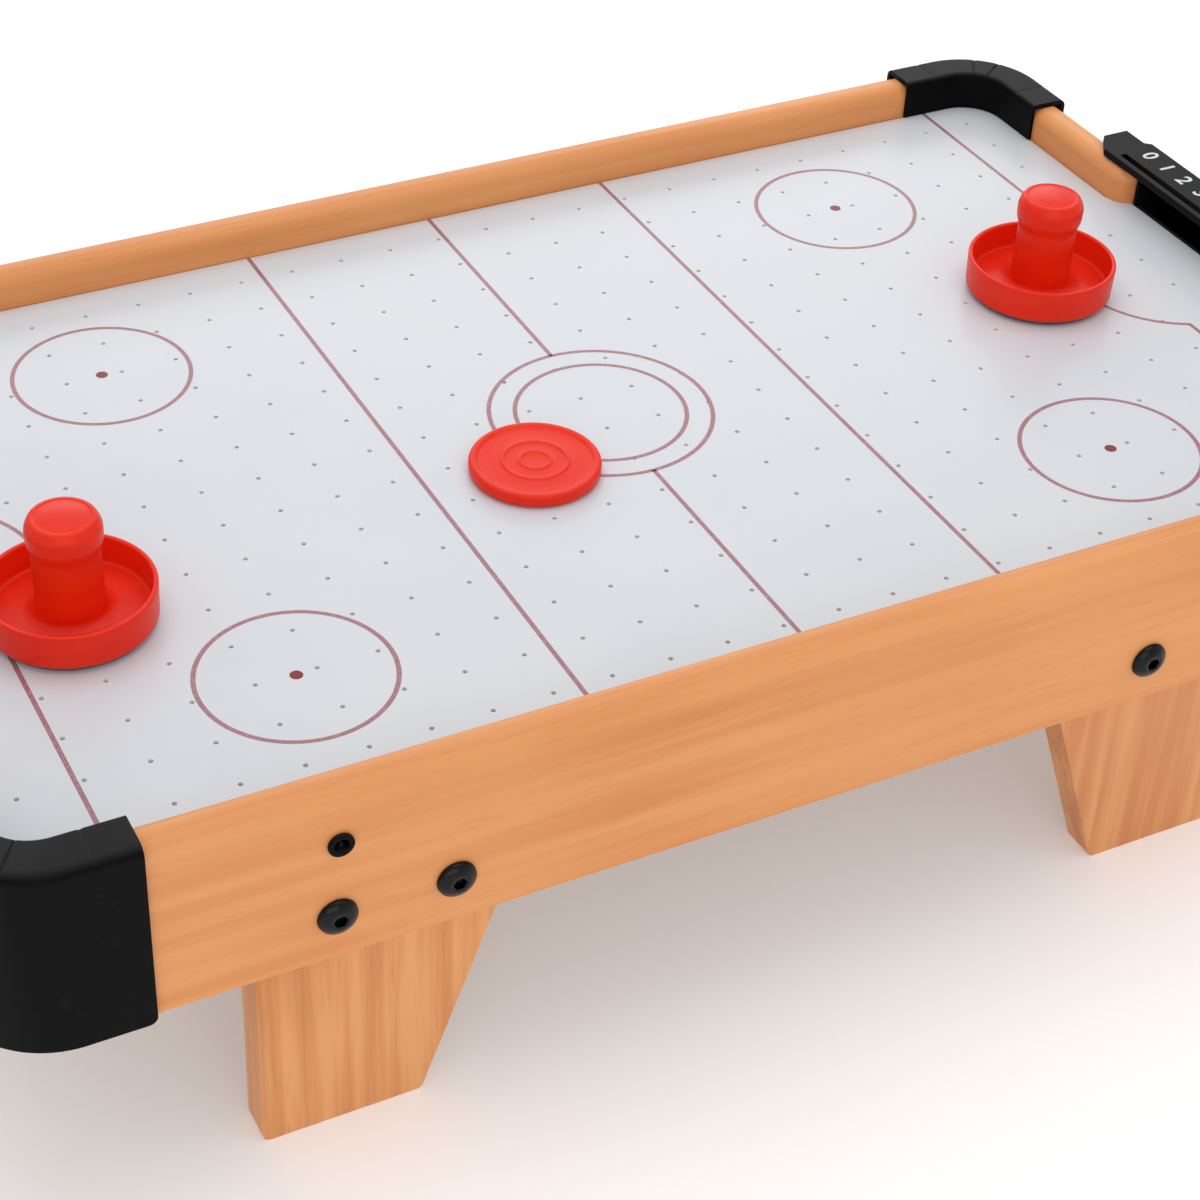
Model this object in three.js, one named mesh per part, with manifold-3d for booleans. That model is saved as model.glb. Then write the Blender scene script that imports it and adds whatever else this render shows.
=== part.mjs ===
import * as THREE from "three";
import { mergeVertices } from "three/addons/utils/BufferGeometryUtils.js";
import Module from "manifold-3d";

// A table-top air hockey game on four plank legs. Millimetres, +Z up.
// The origin is on the floor under the middle of the table. X runs along its length, Y across it,
// -Y is the front long side, -X the left end.

// Board and rails
const PLAY_Z = 129; // playing surface above the floor
const HALF_LENGTH = 244.5; // middle of the table to the inner face of an end rail
const HALF_WIDTH = 139; // middle of the table to the inner face of a side rail
const BOARD = 2.5; // thickness of the playing board
const RAIL = 12; // thickness of every rail and leg plank
const LIP = 12.8; // rail above the playing surface
const RAIL_BOTTOM = 81;
const EDGE_ROUND = 5; // rounding of the rails' top edges
const GAP = 0.3; // clearance between pieces that touch
const RAIL_TOP = PLAY_Z + LIP;
const OUTER_X = HALF_LENGTH + RAIL;
const OUTER_Y = HALF_WIDTH + RAIL;

// Air chamber under the board
const BATTEN = 10;
const BASE_Z = 107; // underside of the base board
const BASE = 3;
const BATTEN_BOTTOM = BASE_Z + BASE + 0.2;
const BATTEN_TOP = PLAY_Z - BOARD - 0.2;

// Corner protectors
const SKIN = 1.8; // outer wall, with its clearance to the rail
const INNER_SKIN = 1.2;
const ARM = 50; // outer corner to the end of an arm
const CORNER_RADIUS = 30;
const CAP = 2.1; // top skin above the rail
const CAP_ROUND = 3.2;
const CORNER_BOTTOM = 79.5;

// Legs and their bolts
const LEG_CENTRE_X = 137;
const LEG_HALF = 38.5; // half the width at the top
const LEG_FOOT_INNER = 14.5; // foot's inner corner from the leg's centre line
const LEG_SLANT_TOP = 72;
const LEG_TOP = BASE_Z - GAP;
const BOLT_SPACING = 36;
const BOLT_Z = 97;
const BOLT_HEAD = 6.1;
const BOLT_DOME = 3;
const BOLT_SHANK = 2.4;
const BOLT_BORE = 2.8;
const BOLT_LENGTH = 2 * RAIL + 6;
const HEX_SOCKET = { radius: 2.1, depth: 1.7 };
const NUT = { radius: 4.6, height: 4 };

// Goals, score plates and sliders, for the right end
const GOAL_HALF = 45.4; // end rail's rounded nose from the middle
const GOAL_FRONT = OUTER_X - RAIL / 2 + 0.4;
const PLATE_BOTTOM = RAIL_TOP + 0.2;
const PLATE = 2.8;
const PLATE_HALF = 70.5;
const PLATE_INNER = HALF_LENGTH + 2.2;
const PLATE_OUTER = OUTER_X + 9.4;
const WALL = 1.7;
const NOTCH_Y = 58.5; // step in the plate's outer edge
const CHAMFER = { x: 6.3, y: 9 }; // inner corners of the plate
const WINDOW = { half: 31, bottom: 88, top: 118 }; // finger window in the pocket's outer wall
const EAR = { bottom: 112, thickness: 2.2, screwY: 62, screwZ: 124 }; // screwed to the rail's outer face
const SLOT_X = 250.6;
const SLOT_HALF = 1.2;
const SLOT_STEP = { half: 2.6, depth: 1.4 }; // wider part of the slot under the plate, for the slider's foot
const SCORE_STEP = 10.3; // one goal on the score plate
const SCORE_TRAVEL = 10 * SCORE_STEP;
const SLIDER = { half: 4.5, neckHalf: 1, footHalf: 2.2, footHeight: 0.9, thumbHalf: 2.9, thumbHeight: 3.9 };
const PILOT = 1.8; // radius of every bore for a small screw
const SCREW = { head: 2.9, headHeight: 2, shank: 1.5 };

// Fan under the base board
const FAN_RADIUS = 35.5;
const FAN_BOTTOM = 87;
const FAN_TOP = BASE_Z - GAP;
const FAN_WALL = 2.5;
const FAN_FLANGE = { radius: 46, thickness: 2.4 };
const FAN_BOLT_CIRCLE = 42;
const MOTOR = { radius: 12.8, bottom: 98.5, top: 108, collar: 3.5, shaft: 1, shaftEnd: 90 };
const CUP = { radius: 15.5, bore: 13.2, height: 8 }; // holds the motor, on three spokes
const HUB = { radius: 11.5, bottom: 89.2, top: 96.5 };
const BLADE = { count: 7, pitch: 38, inner: 9, outer: 34, width: 8, thickness: 1.4 };
const GUARD = { height: 2.4, ringWidth: 1.5, rings: [26, 16], disc: 6 };

// Power inlet: its hole runs through the front rail and the front batten.
const INLET = { x: -153.5, z: 123.2, radius: 3.2, collar: 3.9, depth: 16 };
const LEAD = { radius: 1.1, steps: 44 };

// Loose pieces
const PUCK = { x: -32.4, y: -22, radius: 21.3, height: 4.6, rings: [10.5, 4.9] };
const PUSHERS = [
  { name: "pusher_left", x: -190.3, y: -36 },
  { name: "pusher_right", x: 181, y: 7 },
];
const PUSHER = { radius: 25.9, rim: 12.3, wall: 1.7, floor: 2.9, neck: 10.3, knob: 11.4, height: 37 };
const FELT = { radius: 24, height: 1 };
const AIR_GAP = 0.2; // loose pieces above the board

const wasm = await Module();
wasm.setup();

const paint = (color, roughness, metalness = 0) => ({ color, roughness, metalness });
const WOOD = paint(0xdf9d63, 0.45);
const LEG_WOOD = paint(0xd08a52, 0.5);
const WHITE_BOARD = paint(0xdfe2e6, 0.35);
const FIBRE = paint(0x9b7b5a, 0.8);
const BLACK = paint(0x17181a, 0.4);
const BOLT_BLACK = paint(0x101012, 0.35, 0.6);
const STEEL = paint(0xb0b3b8, 0.35, 1);
const RED = paint(0xde2a1c, 0.3);
const FELT_GREY = paint(0x4b4b50, 0.95);
const CREAM = paint(0xf0f0ec, 0.4);
const FAN_GREY = paint(0x2c2e31, 0.5);

const table = new THREE.Group();
table.name = "air_hockey_table";

// Solids

function toSolid(geometry) {
  const bare = geometry.clone();
  bare.deleteAttribute("normal");
  bare.deleteAttribute("uv");
  const merged = mergeVertices(bare, 1e-4);
  return new wasm.Manifold(
    new wasm.Mesh({
      numProp: 3,
      vertProperties: merged.attributes.position.array,
      triVerts: new Uint32Array(merged.index.array),
    }),
  );
}

function toGeometry(solid) {
  const { vertProperties, triVerts } = solid.getMesh();
  const geometry = new THREE.BufferGeometry();
  geometry.setAttribute("position", new THREE.BufferAttribute(new Float32Array(vertProperties), 3));
  geometry.setIndex(new THREE.BufferAttribute(new Uint32Array(triVerts), 1));
  geometry.computeVertexNormals();
  return geometry;
}

const join = (first, ...rest) => rest.reduce((sum, next) => sum.add(next), first);
const cut = (body, ...tools) => tools.reduce((left, tool) => left.subtract(tool), body);

function block(x, y, z) {
  const geometry = new THREE.BoxGeometry(x[1] - x[0], y[1] - y[0], z[1] - z[0]);
  geometry.translate((x[0] + x[1]) / 2, (y[0] + y[1]) / 2, (z[0] + z[1]) / 2);
  return toSolid(geometry);
}

// A round or many-sided bar along X, Y or Z: at gives the two other coordinates, in X, Y, Z order.
function bar(axis, radius, from, to, at = [0, 0], sides = 16) {
  const geometry = new THREE.CylinderGeometry(radius, radius, to - from, sides);
  geometry.translate(0, (from + to) / 2, 0);
  if (axis === "x") geometry.rotateZ(-Math.PI / 2).translate(0, at[0], at[1]);
  if (axis === "y") geometry.translate(at[0], 0, at[1]);
  if (axis === "z") geometry.rotateX(Math.PI / 2).translate(at[0], at[1], 0);
  return toSolid(geometry);
}

const flat = (shape, z, height) =>
  new THREE.ExtrudeGeometry(shape, { depth: height, bevelEnabled: false }).translate(0, 0, z);

const polygon = (points) => new THREE.Shape(points.map(([x, y]) => new THREE.Vector2(x, y)));

// A closed profile of [radius, height] points turned about Z.
function turned(profile, sides = 32) {
  const points = profile.map(([r, z]) => new THREE.Vector2(r, z));
  return new THREE.LatheGeometry(points, sides).rotateX(Math.PI / 2);
}

function place(name, shape, finish, at = [0, 0, 0], turn = 0) {
  const geometry = shape.isBufferGeometry ? shape : toGeometry(shape);
  const mesh = new THREE.Mesh(geometry, new THREE.MeshStandardMaterial(finish));
  mesh.name = name;
  mesh.position.set(...at);
  mesh.rotation.z = turn;
  table.add(mesh);
}

// Points of an arc from one angle to another, in degrees.
function arc(cx, cy, radius, from, to, steps) {
  return Array.from({ length: steps + 1 }, (_, i) => {
    const angle = THREE.MathUtils.degToRad(from + ((to - from) * i) / steps);
    return [cx + radius * Math.cos(angle), cy + radius * Math.sin(angle)];
  });
}

// Playing board, air chamber and rails

// The board lies inside the rails, with a tongue into each goal. Its air holes are too fine for the solid.
function playingBoard() {
  const x = HALF_LENGTH - GAP;
  const y = HALF_WIDTH - GAP;
  const tongue = GOAL_FRONT - GAP;
  const half = GOAL_HALF - 0.5;
  const outline = polygon([
    [-x, -y], [x, -y], [x, -half], [tongue, -half], [tongue, half], [x, half],
    [x, y], [-x, y], [-x, half], [-tongue, half], [-tongue, -half], [-x, -half],
  ]);
  return flat(outline, PLAY_Z - BOARD, BOARD);
}

function railProfile(inner) {
  const outer = inner + RAIL;
  return polygon([
    [inner, RAIL_BOTTOM],
    [outer, RAIL_BOTTOM],
    ...arc(outer - EDGE_ROUND, RAIL_TOP - EDGE_ROUND, EDGE_ROUND, 0, 90, 6),
    ...arc(inner + EDGE_ROUND, RAIL_TOP - EDGE_ROUND, EDGE_ROUND, 90, 180, 6),
  ]);
}

// A side rail at the back (side 1) or the front (side -1), with its bores.
function sideRail(side, bores) {
  const half = OUTER_X + SKIN - CORNER_RADIUS - 0.8;
  const along = new THREE.Matrix4().makeBasis(
    new THREE.Vector3(0, 1, 0),
    new THREE.Vector3(0, 0, 1),
    new THREE.Vector3(1, 0, 0),
  );
  const length = flat(railProfile(HALF_WIDTH), -half, 2 * half).applyMatrix4(along);
  if (side < 0) length.rotateZ(Math.PI);
  return cut(toSolid(length), ...bores);
}

// Bores for the leg bolts, from [low y, high y] of one side rail.
const boltBores = ([from, to]) =>
  [-1, 1].flatMap((end) =>
    [-1, 1].map((half) => {
      const x = end * LEG_CENTRE_X + (half * BOLT_SPACING) / 2;
      return bar("y", BOLT_BORE, from, to, [x, BOLT_Z], 12);
    }),
  );

// One piece of the right-hand end rail, from the rounded nose beside the goal to the back corner
// (side 1) or the front corner (side -1).
function endRail(side) {
  const end = OUTER_Y + SKIN - CORNER_RADIUS - 0.8;
  const straight = flat(railProfile(HALF_LENGTH), 0, end - GOAL_HALF)
    .rotateX(Math.PI / 2)
    .translate(0, side > 0 ? end : -GOAL_HALF, 0);
  const middle = HALF_LENGTH + RAIL / 2;
  const nose = arc(middle, GOAL_HALF + RAIL / 2, RAIL / 2, 180, 360, 10);
  const plan = polygon([...nose, [OUTER_X, end], [HALF_LENGTH, end]].map(([x, y]) => [x, side * y]));
  const upright = toSolid(flat(plan, RAIL_BOTTOM, RAIL_TOP - RAIL_BOTTOM));
  const screwBore = bar("x", PILOT, OUTER_X - 9, OUTER_X + 2, [side * EAR.screwY, EAR.screwZ], 10);
  return cut(toSolid(straight).intersect(upright), screwBore);
}

function baseBoard() {
  const x = HALF_LENGTH - GAP;
  const y = HALF_WIDTH - GAP;
  const board = block([-x, x], [-y, y], [BASE_Z, BASE_Z + BASE]);
  const air = bar("z", FAN_RADIUS - FAN_WALL, BASE_Z - 1, BASE_Z + BASE + 1, [0, 0], 32);
  const pilots = fanScrewSpots().map((at) => bar("z", PILOT, BASE_Z - 1, BASE_Z + BASE + 1, at, 10));
  return cut(board, air, ...pilots);
}

const fanScrewSpots = () => arc(0, 0, FAN_BOLT_CIRCLE, 45, 315, 3);

// Corner protector: a channel over the rails' ends, swept round the corner. Its outer corner is the
// origin and its arms run along -X and -Y.
function cornerProtector() {
  const width = SKIN + RAIL + 0.2 + INNER_SKIN;
  const top = RAIL_TOP + CAP;
  const profile = [
    [0, CORNER_BOTTOM],
    ...arc(CAP_ROUND, top - CAP_ROUND, CAP_ROUND, 180, 90, 4),
    ...arc(width - 1, top - 1, 1, 90, 0, 2),
    [width, PLAY_Z + GAP],
    [width - INNER_SKIN, PLAY_Z + GAP],
    [width - INNER_SKIN, RAIL_TOP + 0.2],
    [SKIN - 0.2, RAIL_TOP + 0.2],
    [SKIN - 0.2, CORNER_BOTTOM],
  ];
  const steps = 9;
  const bend = arc(-CORNER_RADIUS, -CORNER_RADIUS, CORNER_RADIUS, 90, 0, steps);
  const stations = [[-ARM, 0], ...bend, [0, -ARM]].map(([x, y], i) => {
    const share = THREE.MathUtils.clamp(i - 1, 0, steps) / steps;
    const angle = (1 - share) * (Math.PI / 2);
    return { x, y, nx: Math.cos(angle), ny: Math.sin(angle) };
  });
  return sweep(profile.reverse(), stations);
}

// Carries an anticlockwise profile of [depth, height] points along stations, each with an outward direction.
function sweep(profile, stations) {
  const n = profile.length;
  const positions = stations.flatMap(({ x, y, nx, ny }) =>
    profile.flatMap(([depth, z]) => [x - nx * depth, y - ny * depth, z]),
  );
  const index = [];
  for (let s = 0; s + 1 < stations.length; s++)
    for (let i = 0; i < n; i++) {
      const a = s * n + i;
      const b = s * n + ((i + 1) % n);
      index.push(a, a + n, b, b, a + n, b + n);
    }
  const face = THREE.ShapeUtils.triangulateShape(profile.map(([d, z]) => new THREE.Vector2(d, z)), []);
  const last = (stations.length - 1) * n;
  for (const [a, b, c] of face) index.push(a, b, c, last + a, last + c, last + b);
  const geometry = new THREE.BufferGeometry();
  geometry.setAttribute("position", new THREE.Float32BufferAttribute(positions, 3));
  geometry.setIndex(index);
  geometry.computeVertexNormals();
  return geometry;
}

// Leg at the right: a plank with its inner edge slanted, its middle at the origin, facing along Y.
function leg() {
  const round = 2.5; // corners of the foot
  const outline = polygon([
    ...arc(LEG_HALF - round, round, round, -90, 0, 3),
    [LEG_HALF, LEG_TOP],
    [-LEG_HALF, LEG_TOP],
    [-LEG_HALF, LEG_SLANT_TOP],
    ...arc(-LEG_FOOT_INNER + round + 0.8, round, round, 200, 270, 3),
  ]);
  const plank = flat(outline, -RAIL / 2, RAIL).rotateX(Math.PI / 2);
  const bores = [-1, 1].map((side) => {
    const x = (side * BOLT_SPACING) / 2;
    return bar("y", BOLT_BORE, -RAIL, RAIL, [x, BOLT_Z], 12);
  });
  return cut(toSolid(plank), ...bores);
}

// Bolt along Y with its domed head at the front: the head's underside is the origin.
function legBolt() {
  const body = turned([
    [0, -BOLT_LENGTH],
    [BOLT_SHANK, -BOLT_LENGTH],
    [BOLT_SHANK, 0],
    [BOLT_HEAD, 0],
    [BOLT_HEAD, 0.7],
    [BOLT_HEAD - 1.1, 2],
    [BOLT_HEAD / 2, BOLT_DOME],
    [0, BOLT_DOME],
  ], 16);
  const socket = bar("z", HEX_SOCKET.radius, BOLT_DOME - HEX_SOCKET.depth, BOLT_DOME + 1, [0, 0], 6);
  return toGeometry(cut(toSolid(body), socket)).rotateX(Math.PI / 2);
}

function nut() {
  const body = bar("y", NUT.radius, 0, NUT.height, [0, 0], 6);
  return cut(body, bar("y", BOLT_BORE, -1, NUT.height + 1, [0, 0], 12));
}

// Score plate's outline: chamfered at the inner corners, stepped at the outer edge.
function plateOutline() {
  const step = PLATE_OUTER - 2.3;
  const side = [
    [PLATE_INNER, PLATE_HALF - CHAMFER.y],
    [PLATE_INNER + CHAMFER.x, PLATE_HALF],
    [step, PLATE_HALF],
    [step, NOTCH_Y + 1],
    [PLATE_OUTER, NOTCH_Y - 1],
  ];
  return polygon([...side, ...side.map(([x, y]) => [x, -y]).reverse()]);
}

// Goal with its score plate, for the right end: a pocket hung between the end rails, open at the
// mouth above the playing surface and through a window in its outer wall.
function goalUnit() {
  const half = GOAL_HALF - GAP;
  const inside = half - WALL;
  const back = PLATE_OUTER;
  const floor = RAIL_BOTTOM + 1;
  const top = PLATE_BOTTOM + PLATE;
  const under = PLATE_BOTTOM + 1; // the walls run this far into the plate
  const ears = [-1, 1].map((side) => {
    const y = [side * (half - 1), side * PLATE_HALF].sort((a, b) => a - b);
    return block([OUTER_X + 0.4, OUTER_X + 0.4 + EAR.thickness], y, [EAR.bottom, under]);
  });
  const body = join(
    toSolid(flat(plateOutline(), PLATE_BOTTOM, PLATE)),
    block([GOAL_FRONT, back], [-half, half], [floor, under]),
    ...ears,
  );
  const slot = SCORE_TRAVEL / 2 + SLIDER.half - 1;
  const wide = slot + SLOT_STEP.half - SLOT_HALF;
  return cut(
    body,
    block([GOAL_FRONT + WALL, back - WALL], [-inside, inside], [floor + WALL, PLATE_BOTTOM]),
    block([GOAL_FRONT - 1, GOAL_FRONT + WALL + 1], [-inside, inside], [PLAY_Z - 0.2, PLATE_BOTTOM]),
    block([back - WALL - 1, back + 1], [-WINDOW.half, WINDOW.half], [WINDOW.bottom, WINDOW.top]),
    block([SLOT_X - SLOT_HALF, SLOT_X + SLOT_HALF], [-slot, slot], [PLATE_BOTTOM - 1, top + 1]),
    block(
      [SLOT_X - SLOT_STEP.half, SLOT_X + SLOT_STEP.half],
      [-wide, wide],
      [PLATE_BOTTOM - 1, PLATE_BOTTOM + SLOT_STEP.depth],
    ),
    ...[-1, 1].map((side) => bar("x", PILOT, OUTER_X - 1, OUTER_X + 4, [side * EAR.screwY, EAR.screwZ], 10)),
  );
}

// Score slider at the middle of its slot: a foot under the plate, a neck and a rounded thumb piece.
function scoreSlider() {
  const thumbBottom = PLATE_BOTTOM + PLATE + GAP;
  const foot = PLATE_BOTTOM + 0.25;
  const { half, neckHalf, footHalf, footHeight, thumbHalf, thumbHeight } = SLIDER;
  const round = 1;
  const section = polygon([
    ...arc(thumbHalf - round, thumbHeight - round, round, 0, 90, 3),
    ...arc(-thumbHalf + round, thumbHeight - round, round, 90, 180, 3),
    [-thumbHalf, 0],
    [thumbHalf, 0],
  ]);
  const thumb = flat(section, -half, 2 * half).rotateX(Math.PI / 2).translate(SLOT_X, 0, thumbBottom);
  return join(
    toSolid(thumb),
    block([SLOT_X - neckHalf, SLOT_X + neckHalf], [1.5 - half, half - 1.5], [foot + 0.1, thumbBottom + 0.1]),
    block([SLOT_X - footHalf, SLOT_X + footHalf], [-half, half], [foot, foot + footHeight]),
  );
}

// Pan-head screw along Z: the head's underside is the origin and the point is up.
function panScrew(length) {
  const { head, headHeight, shank } = SCREW;
  return turned([
    [0, -headHeight],
    [0.7 * head, -0.85 * headHeight],
    [head, -0.4 * headHeight],
    [head, 0],
    [shank, 0],
    [shank, length - 2],
    [0, length],
  ], 12);
}

// Fan: shroud with the motor held on spokes, impeller and guard

function fanHousing() {
  const outer = FAN_RADIUS + FAN_WALL;
  const shoulder = FAN_TOP - FAN_FLANGE.thickness;
  const shroud = turned([
    [FAN_RADIUS, FAN_BOTTOM],
    [outer, FAN_BOTTOM],
    [outer, shoulder],
    [FAN_FLANGE.radius, shoulder],
    [FAN_FLANGE.radius, FAN_TOP],
    [FAN_RADIUS, FAN_TOP],
    [FAN_RADIUS, FAN_BOTTOM],
  ]);
  const spokeInner = CUP.bore - 0.2;
  const spokes = [0, 120, 240].map((degrees) => {
    const spoke = new THREE.BoxGeometry(outer - 1 - spokeInner, 4, 3);
    spoke.translate((outer - 1 + spokeInner) / 2, 0, FAN_TOP - 1.5);
    return toSolid(spoke.rotateZ(THREE.MathUtils.degToRad(degrees)));
  });
  const cup = bar("z", CUP.radius, FAN_TOP - CUP.height, FAN_TOP, [0, 0], 24);
  return cut(
    join(toSolid(shroud), cup, ...spokes),
    bar("z", CUP.bore, FAN_TOP - CUP.height - 1, FAN_TOP + 1, [0, 0], 24),
    ...fanScrewSpots().map((at) => bar("z", PILOT, shoulder - 1, FAN_TOP + 1, at, 10)),
  );
}

function fanMotor() {
  const { radius, bottom, top, collar, shaft, shaftEnd } = MOTOR;
  return turned([
    [0, shaftEnd],
    [shaft, shaftEnd],
    [shaft, bottom - 1],
    [collar, bottom - 1],
    [collar, bottom],
    [radius - 1.3, bottom],
    [radius, bottom + 1],
    [radius, top],
    [0, top],
  ], 20);
}

function fanImpeller() {
  const middle = (HUB.bottom + HUB.top) / 2;
  const blades = Array.from({ length: BLADE.count }, (_, i) => {
    const blade = new THREE.BoxGeometry(BLADE.outer - BLADE.inner, BLADE.width, BLADE.thickness);
    blade.rotateX(THREE.MathUtils.degToRad(BLADE.pitch));
    blade.translate((BLADE.outer + BLADE.inner) / 2, 0, middle);
    return toSolid(blade.rotateZ((i * 2 * Math.PI) / BLADE.count));
  });
  const hub = bar("z", HUB.radius, HUB.bottom, HUB.top, [0, 0], 20);
  const shaftHole = bar("z", MOTOR.shaft + 0.05, MOTOR.shaftEnd - 0.1, HUB.top + 1, [0, 0], 20);
  return cut(join(hub, ...blades), shaftHole);
}

function fanGuard() {
  const high = FAN_BOTTOM - GAP;
  const low = high - GUARD.height;
  const ring = (outer, inner) =>
    toSolid(turned([[inner, low], [outer, low], [outer, high], [inner, high], [inner, low]], 24));
  const bars = [0, 90].map((degrees) =>
    toSolid(
      new THREE.BoxGeometry(2 * FAN_RADIUS + 2, 2, GUARD.height)
        .translate(0, 0, (high + low) / 2)
        .rotateZ(THREE.MathUtils.degToRad(degrees)),
    ),
  );
  return join(
    ring(FAN_RADIUS + FAN_WALL, FAN_RADIUS - 1),
    ...GUARD.rings.map((radius) => ring(radius, radius - GUARD.ringWidth)),
    bar("z", GUARD.disc, low, high, [0, 0], 16),
    ...bars,
  );
}

// Power inlet along Y, pointing to the front: a collar with a barrel behind it and a contact pin.
function powerInlet() {
  const { x, z, radius, collar, depth } = INLET;
  const face = -OUTER_Y - 1.2;
  const ring = bar("y", collar, face, -OUTER_Y - 0.1, [x, z], 24);
  const barrel = bar("y", radius - GAP, -OUTER_Y - 0.2, -OUTER_Y + depth, [x, z], 20);
  const socket = bar("y", 2.2, face - 1, face + 10, [x, z], 20);
  const pin = bar("y", 0.8, face + 0.6, face + 11, [x, z], 10);
  return join(cut(join(ring, barrel), socket), pin);
}

// Lead of the fan: out of the inlet's barrel, over the base board and down onto the motor's top.
function fanLead() {
  const onBase = BASE_Z + BASE + LEAD.radius + GAP;
  const start = -OUTER_Y + INLET.depth + GAP;
  const route = [
    [INLET.x, start, INLET.z],
    [INLET.x, start + 14, INLET.z - 0.4],
    [INLET.x + 7, start + 38, onBase + 3],
    [-118, -74, onBase + 0.4],
    [-75, -45, onBase + 0.1],
    [-40, -24, onBase + 0.1],
    [-18, -11, onBase + 0.4],
    [-8, -5.2, onBase],
    [-4.8, -3.2, MOTOR.top + LEAD.radius + GAP],
  ];
  const path = new THREE.CatmullRomCurve3(route.map((point) => new THREE.Vector3(...point)));
  const section = new THREE.Shape().absarc(0, 0, LEAD.radius, 0, 2 * Math.PI);
  const shape = { steps: LEAD.steps, curveSegments: 4, extrudePath: path, bevelEnabled: false };
  return new THREE.ExtrudeGeometry(section, shape);
}

// Loose pieces, each standing at Z = 0

// A round tray with a knob in the middle, hollow under the knob.
function pusher() {
  const { radius, rim, wall, floor, neck, knob, height } = PUSHER;
  const base = 0.2;
  const shell = 2;
  return turned([
    [0, height - shell],
    [neck - 3.3, height - shell - 0.4],
    [knob - shell - 0.2, height - 6],
    [neck - shell + 0.1, height - 13],
    [neck - shell + 0.1, base],
    [radius - 1.4, base],
    [radius - 0.3, base + 1],
    [radius, rim - 0.6],
    [radius - 0.9, rim],
    [radius - wall, rim - 0.5],
    [radius - wall, floor + 1.6],
    [radius - wall - 1.3, floor],
    [neck + 3.2, floor],
    [neck + 1.2, floor + 1.3],
    [neck, floor + 5.1],
    [neck, height - 11],
    [neck + 0.6, height - 8.5],
    [knob, height - 6],
    [knob - 0.4, height - 3.2],
    [knob - 2.4, height - 1],
    [knob - 5.9, height - 0.1],
    [0, height],
  ], 26);
}

// A disc with a raised rim and two raised rings.
function puck() {
  const { radius, height, rings } = PUCK;
  const face = height - 0.7;
  const ridges = rings.flatMap((ring) => [[ring + 0.7, face], [ring, face + 0.4], [ring - 0.7, face]]);
  return turned([
    [0, 0],
    [radius - 1, 0],
    [radius, 0.8],
    [radius, height - 0.7],
    [radius - 0.7, height],
    [radius - 2.2, height],
    [radius - 2.9, face],
    ...ridges,
    [0, face],
  ]);
}

// Assembly

place("playing_board", playingBoard(), WHITE_BOARD);
place("base_board", baseBoard(), FIBRE);

const inletBore = bar("y", INLET.radius + 0.3, -OUTER_Y - 5, -HALF_WIDTH + BATTEN + 5, [INLET.x, INLET.z], 16);
const throughRail = [HALF_WIDTH - 2, OUTER_Y + 2];
place("side_rail_back", sideRail(1, boltBores(throughRail)), WOOD);
const throughFront = throughRail.map((y) => -y).reverse();
place("side_rail_front", sideRail(-1, [...boltBores(throughFront), inletBore]), WOOD);

const battenX = HALF_LENGTH - GAP;
const battenY = HALF_WIDTH - GAP;
const battenZ = [BATTEN_BOTTOM, BATTEN_TOP];
place("chamber_batten_back", block([-battenX, battenX], [battenY - BATTEN, battenY], battenZ), FIBRE);
place(
  "chamber_batten_front",
  cut(block([-battenX, battenX], [-battenY, -battenY + BATTEN], battenZ), inletBore),
  FIBRE,
);
const endSpan = battenY - BATTEN - GAP;
place("chamber_batten_right", block([battenX - BATTEN, battenX], [-endSpan, endSpan], battenZ), FIBRE);
place("chamber_batten_left", block([-battenX, -battenX + BATTEN], [-endSpan, endSpan], battenZ), FIBRE);

place("end_rail_right_back", endRail(1), WOOD);
place("end_rail_right_front", endRail(-1), WOOD);
place("end_rail_left_front", endRail(1), WOOD, [0, 0, 0], Math.PI);
place("end_rail_left_back", endRail(-1), WOOD, [0, 0, 0], Math.PI);

[
  ["right_back", 1, 1],
  ["left_back", -1, 1],
  ["left_front", -1, -1],
  ["right_front", 1, -1],
].forEach(([where, sx, sy], quarter) => {
  const corner = [sx * (OUTER_X + SKIN), sy * (OUTER_Y + SKIN), 0];
  place(`corner_protector_${where}`, cornerProtector(), BLACK, corner, (quarter * Math.PI) / 2);

  const legX = sx * LEG_CENTRE_X;
  const legY = sy * (HALF_WIDTH - GAP - RAIL / 2);
  place(`leg_${where}`, leg(), LEG_WOOD, [legX, legY, 0], sx > 0 ? 0 : Math.PI);

  ["inner", "outer"].forEach((which, i) => {
    const x = sx * (LEG_CENTRE_X + (i - 0.5) * BOLT_SPACING);
    const turn = sy < 0 ? 0 : Math.PI;
    place(`leg_bolt_${where}_${which}`, legBolt(), BOLT_BLACK, [x, sy * (OUTER_Y + 0.1), BOLT_Z], turn);
    const nutY = sy * (HALF_WIDTH - 2 * GAP - RAIL);
    place(`leg_nut_${where}_${which}`, nut(), STEEL, [x, nutY, BOLT_Z], turn);
  });
});

[
  ["right", 0],
  ["left", Math.PI],
].forEach(([end, turn]) => {
  const sign = end === "right" ? 1 : -1;
  place(`goal_score_unit_${end}`, goalUnit(), BLACK, [0, 0, 0], turn);
  place(`score_slider_${end}`, scoreSlider(), RED, [0, (-sign * SCORE_TRAVEL) / 2, 0], turn);
  [-1, 1].forEach((side) => {
    const seat = OUTER_X + 0.5 + EAR.thickness;
    const screw = panScrew(10).rotateY(-Math.PI / 2).translate(seat, side * EAR.screwY, EAR.screwZ);
    const where = side * sign > 0 ? "back" : "front";
    place(`goal_screw_${end}_${where}`, screw, BOLT_BLACK, [0, 0, 0], turn);
  });
});

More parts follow.
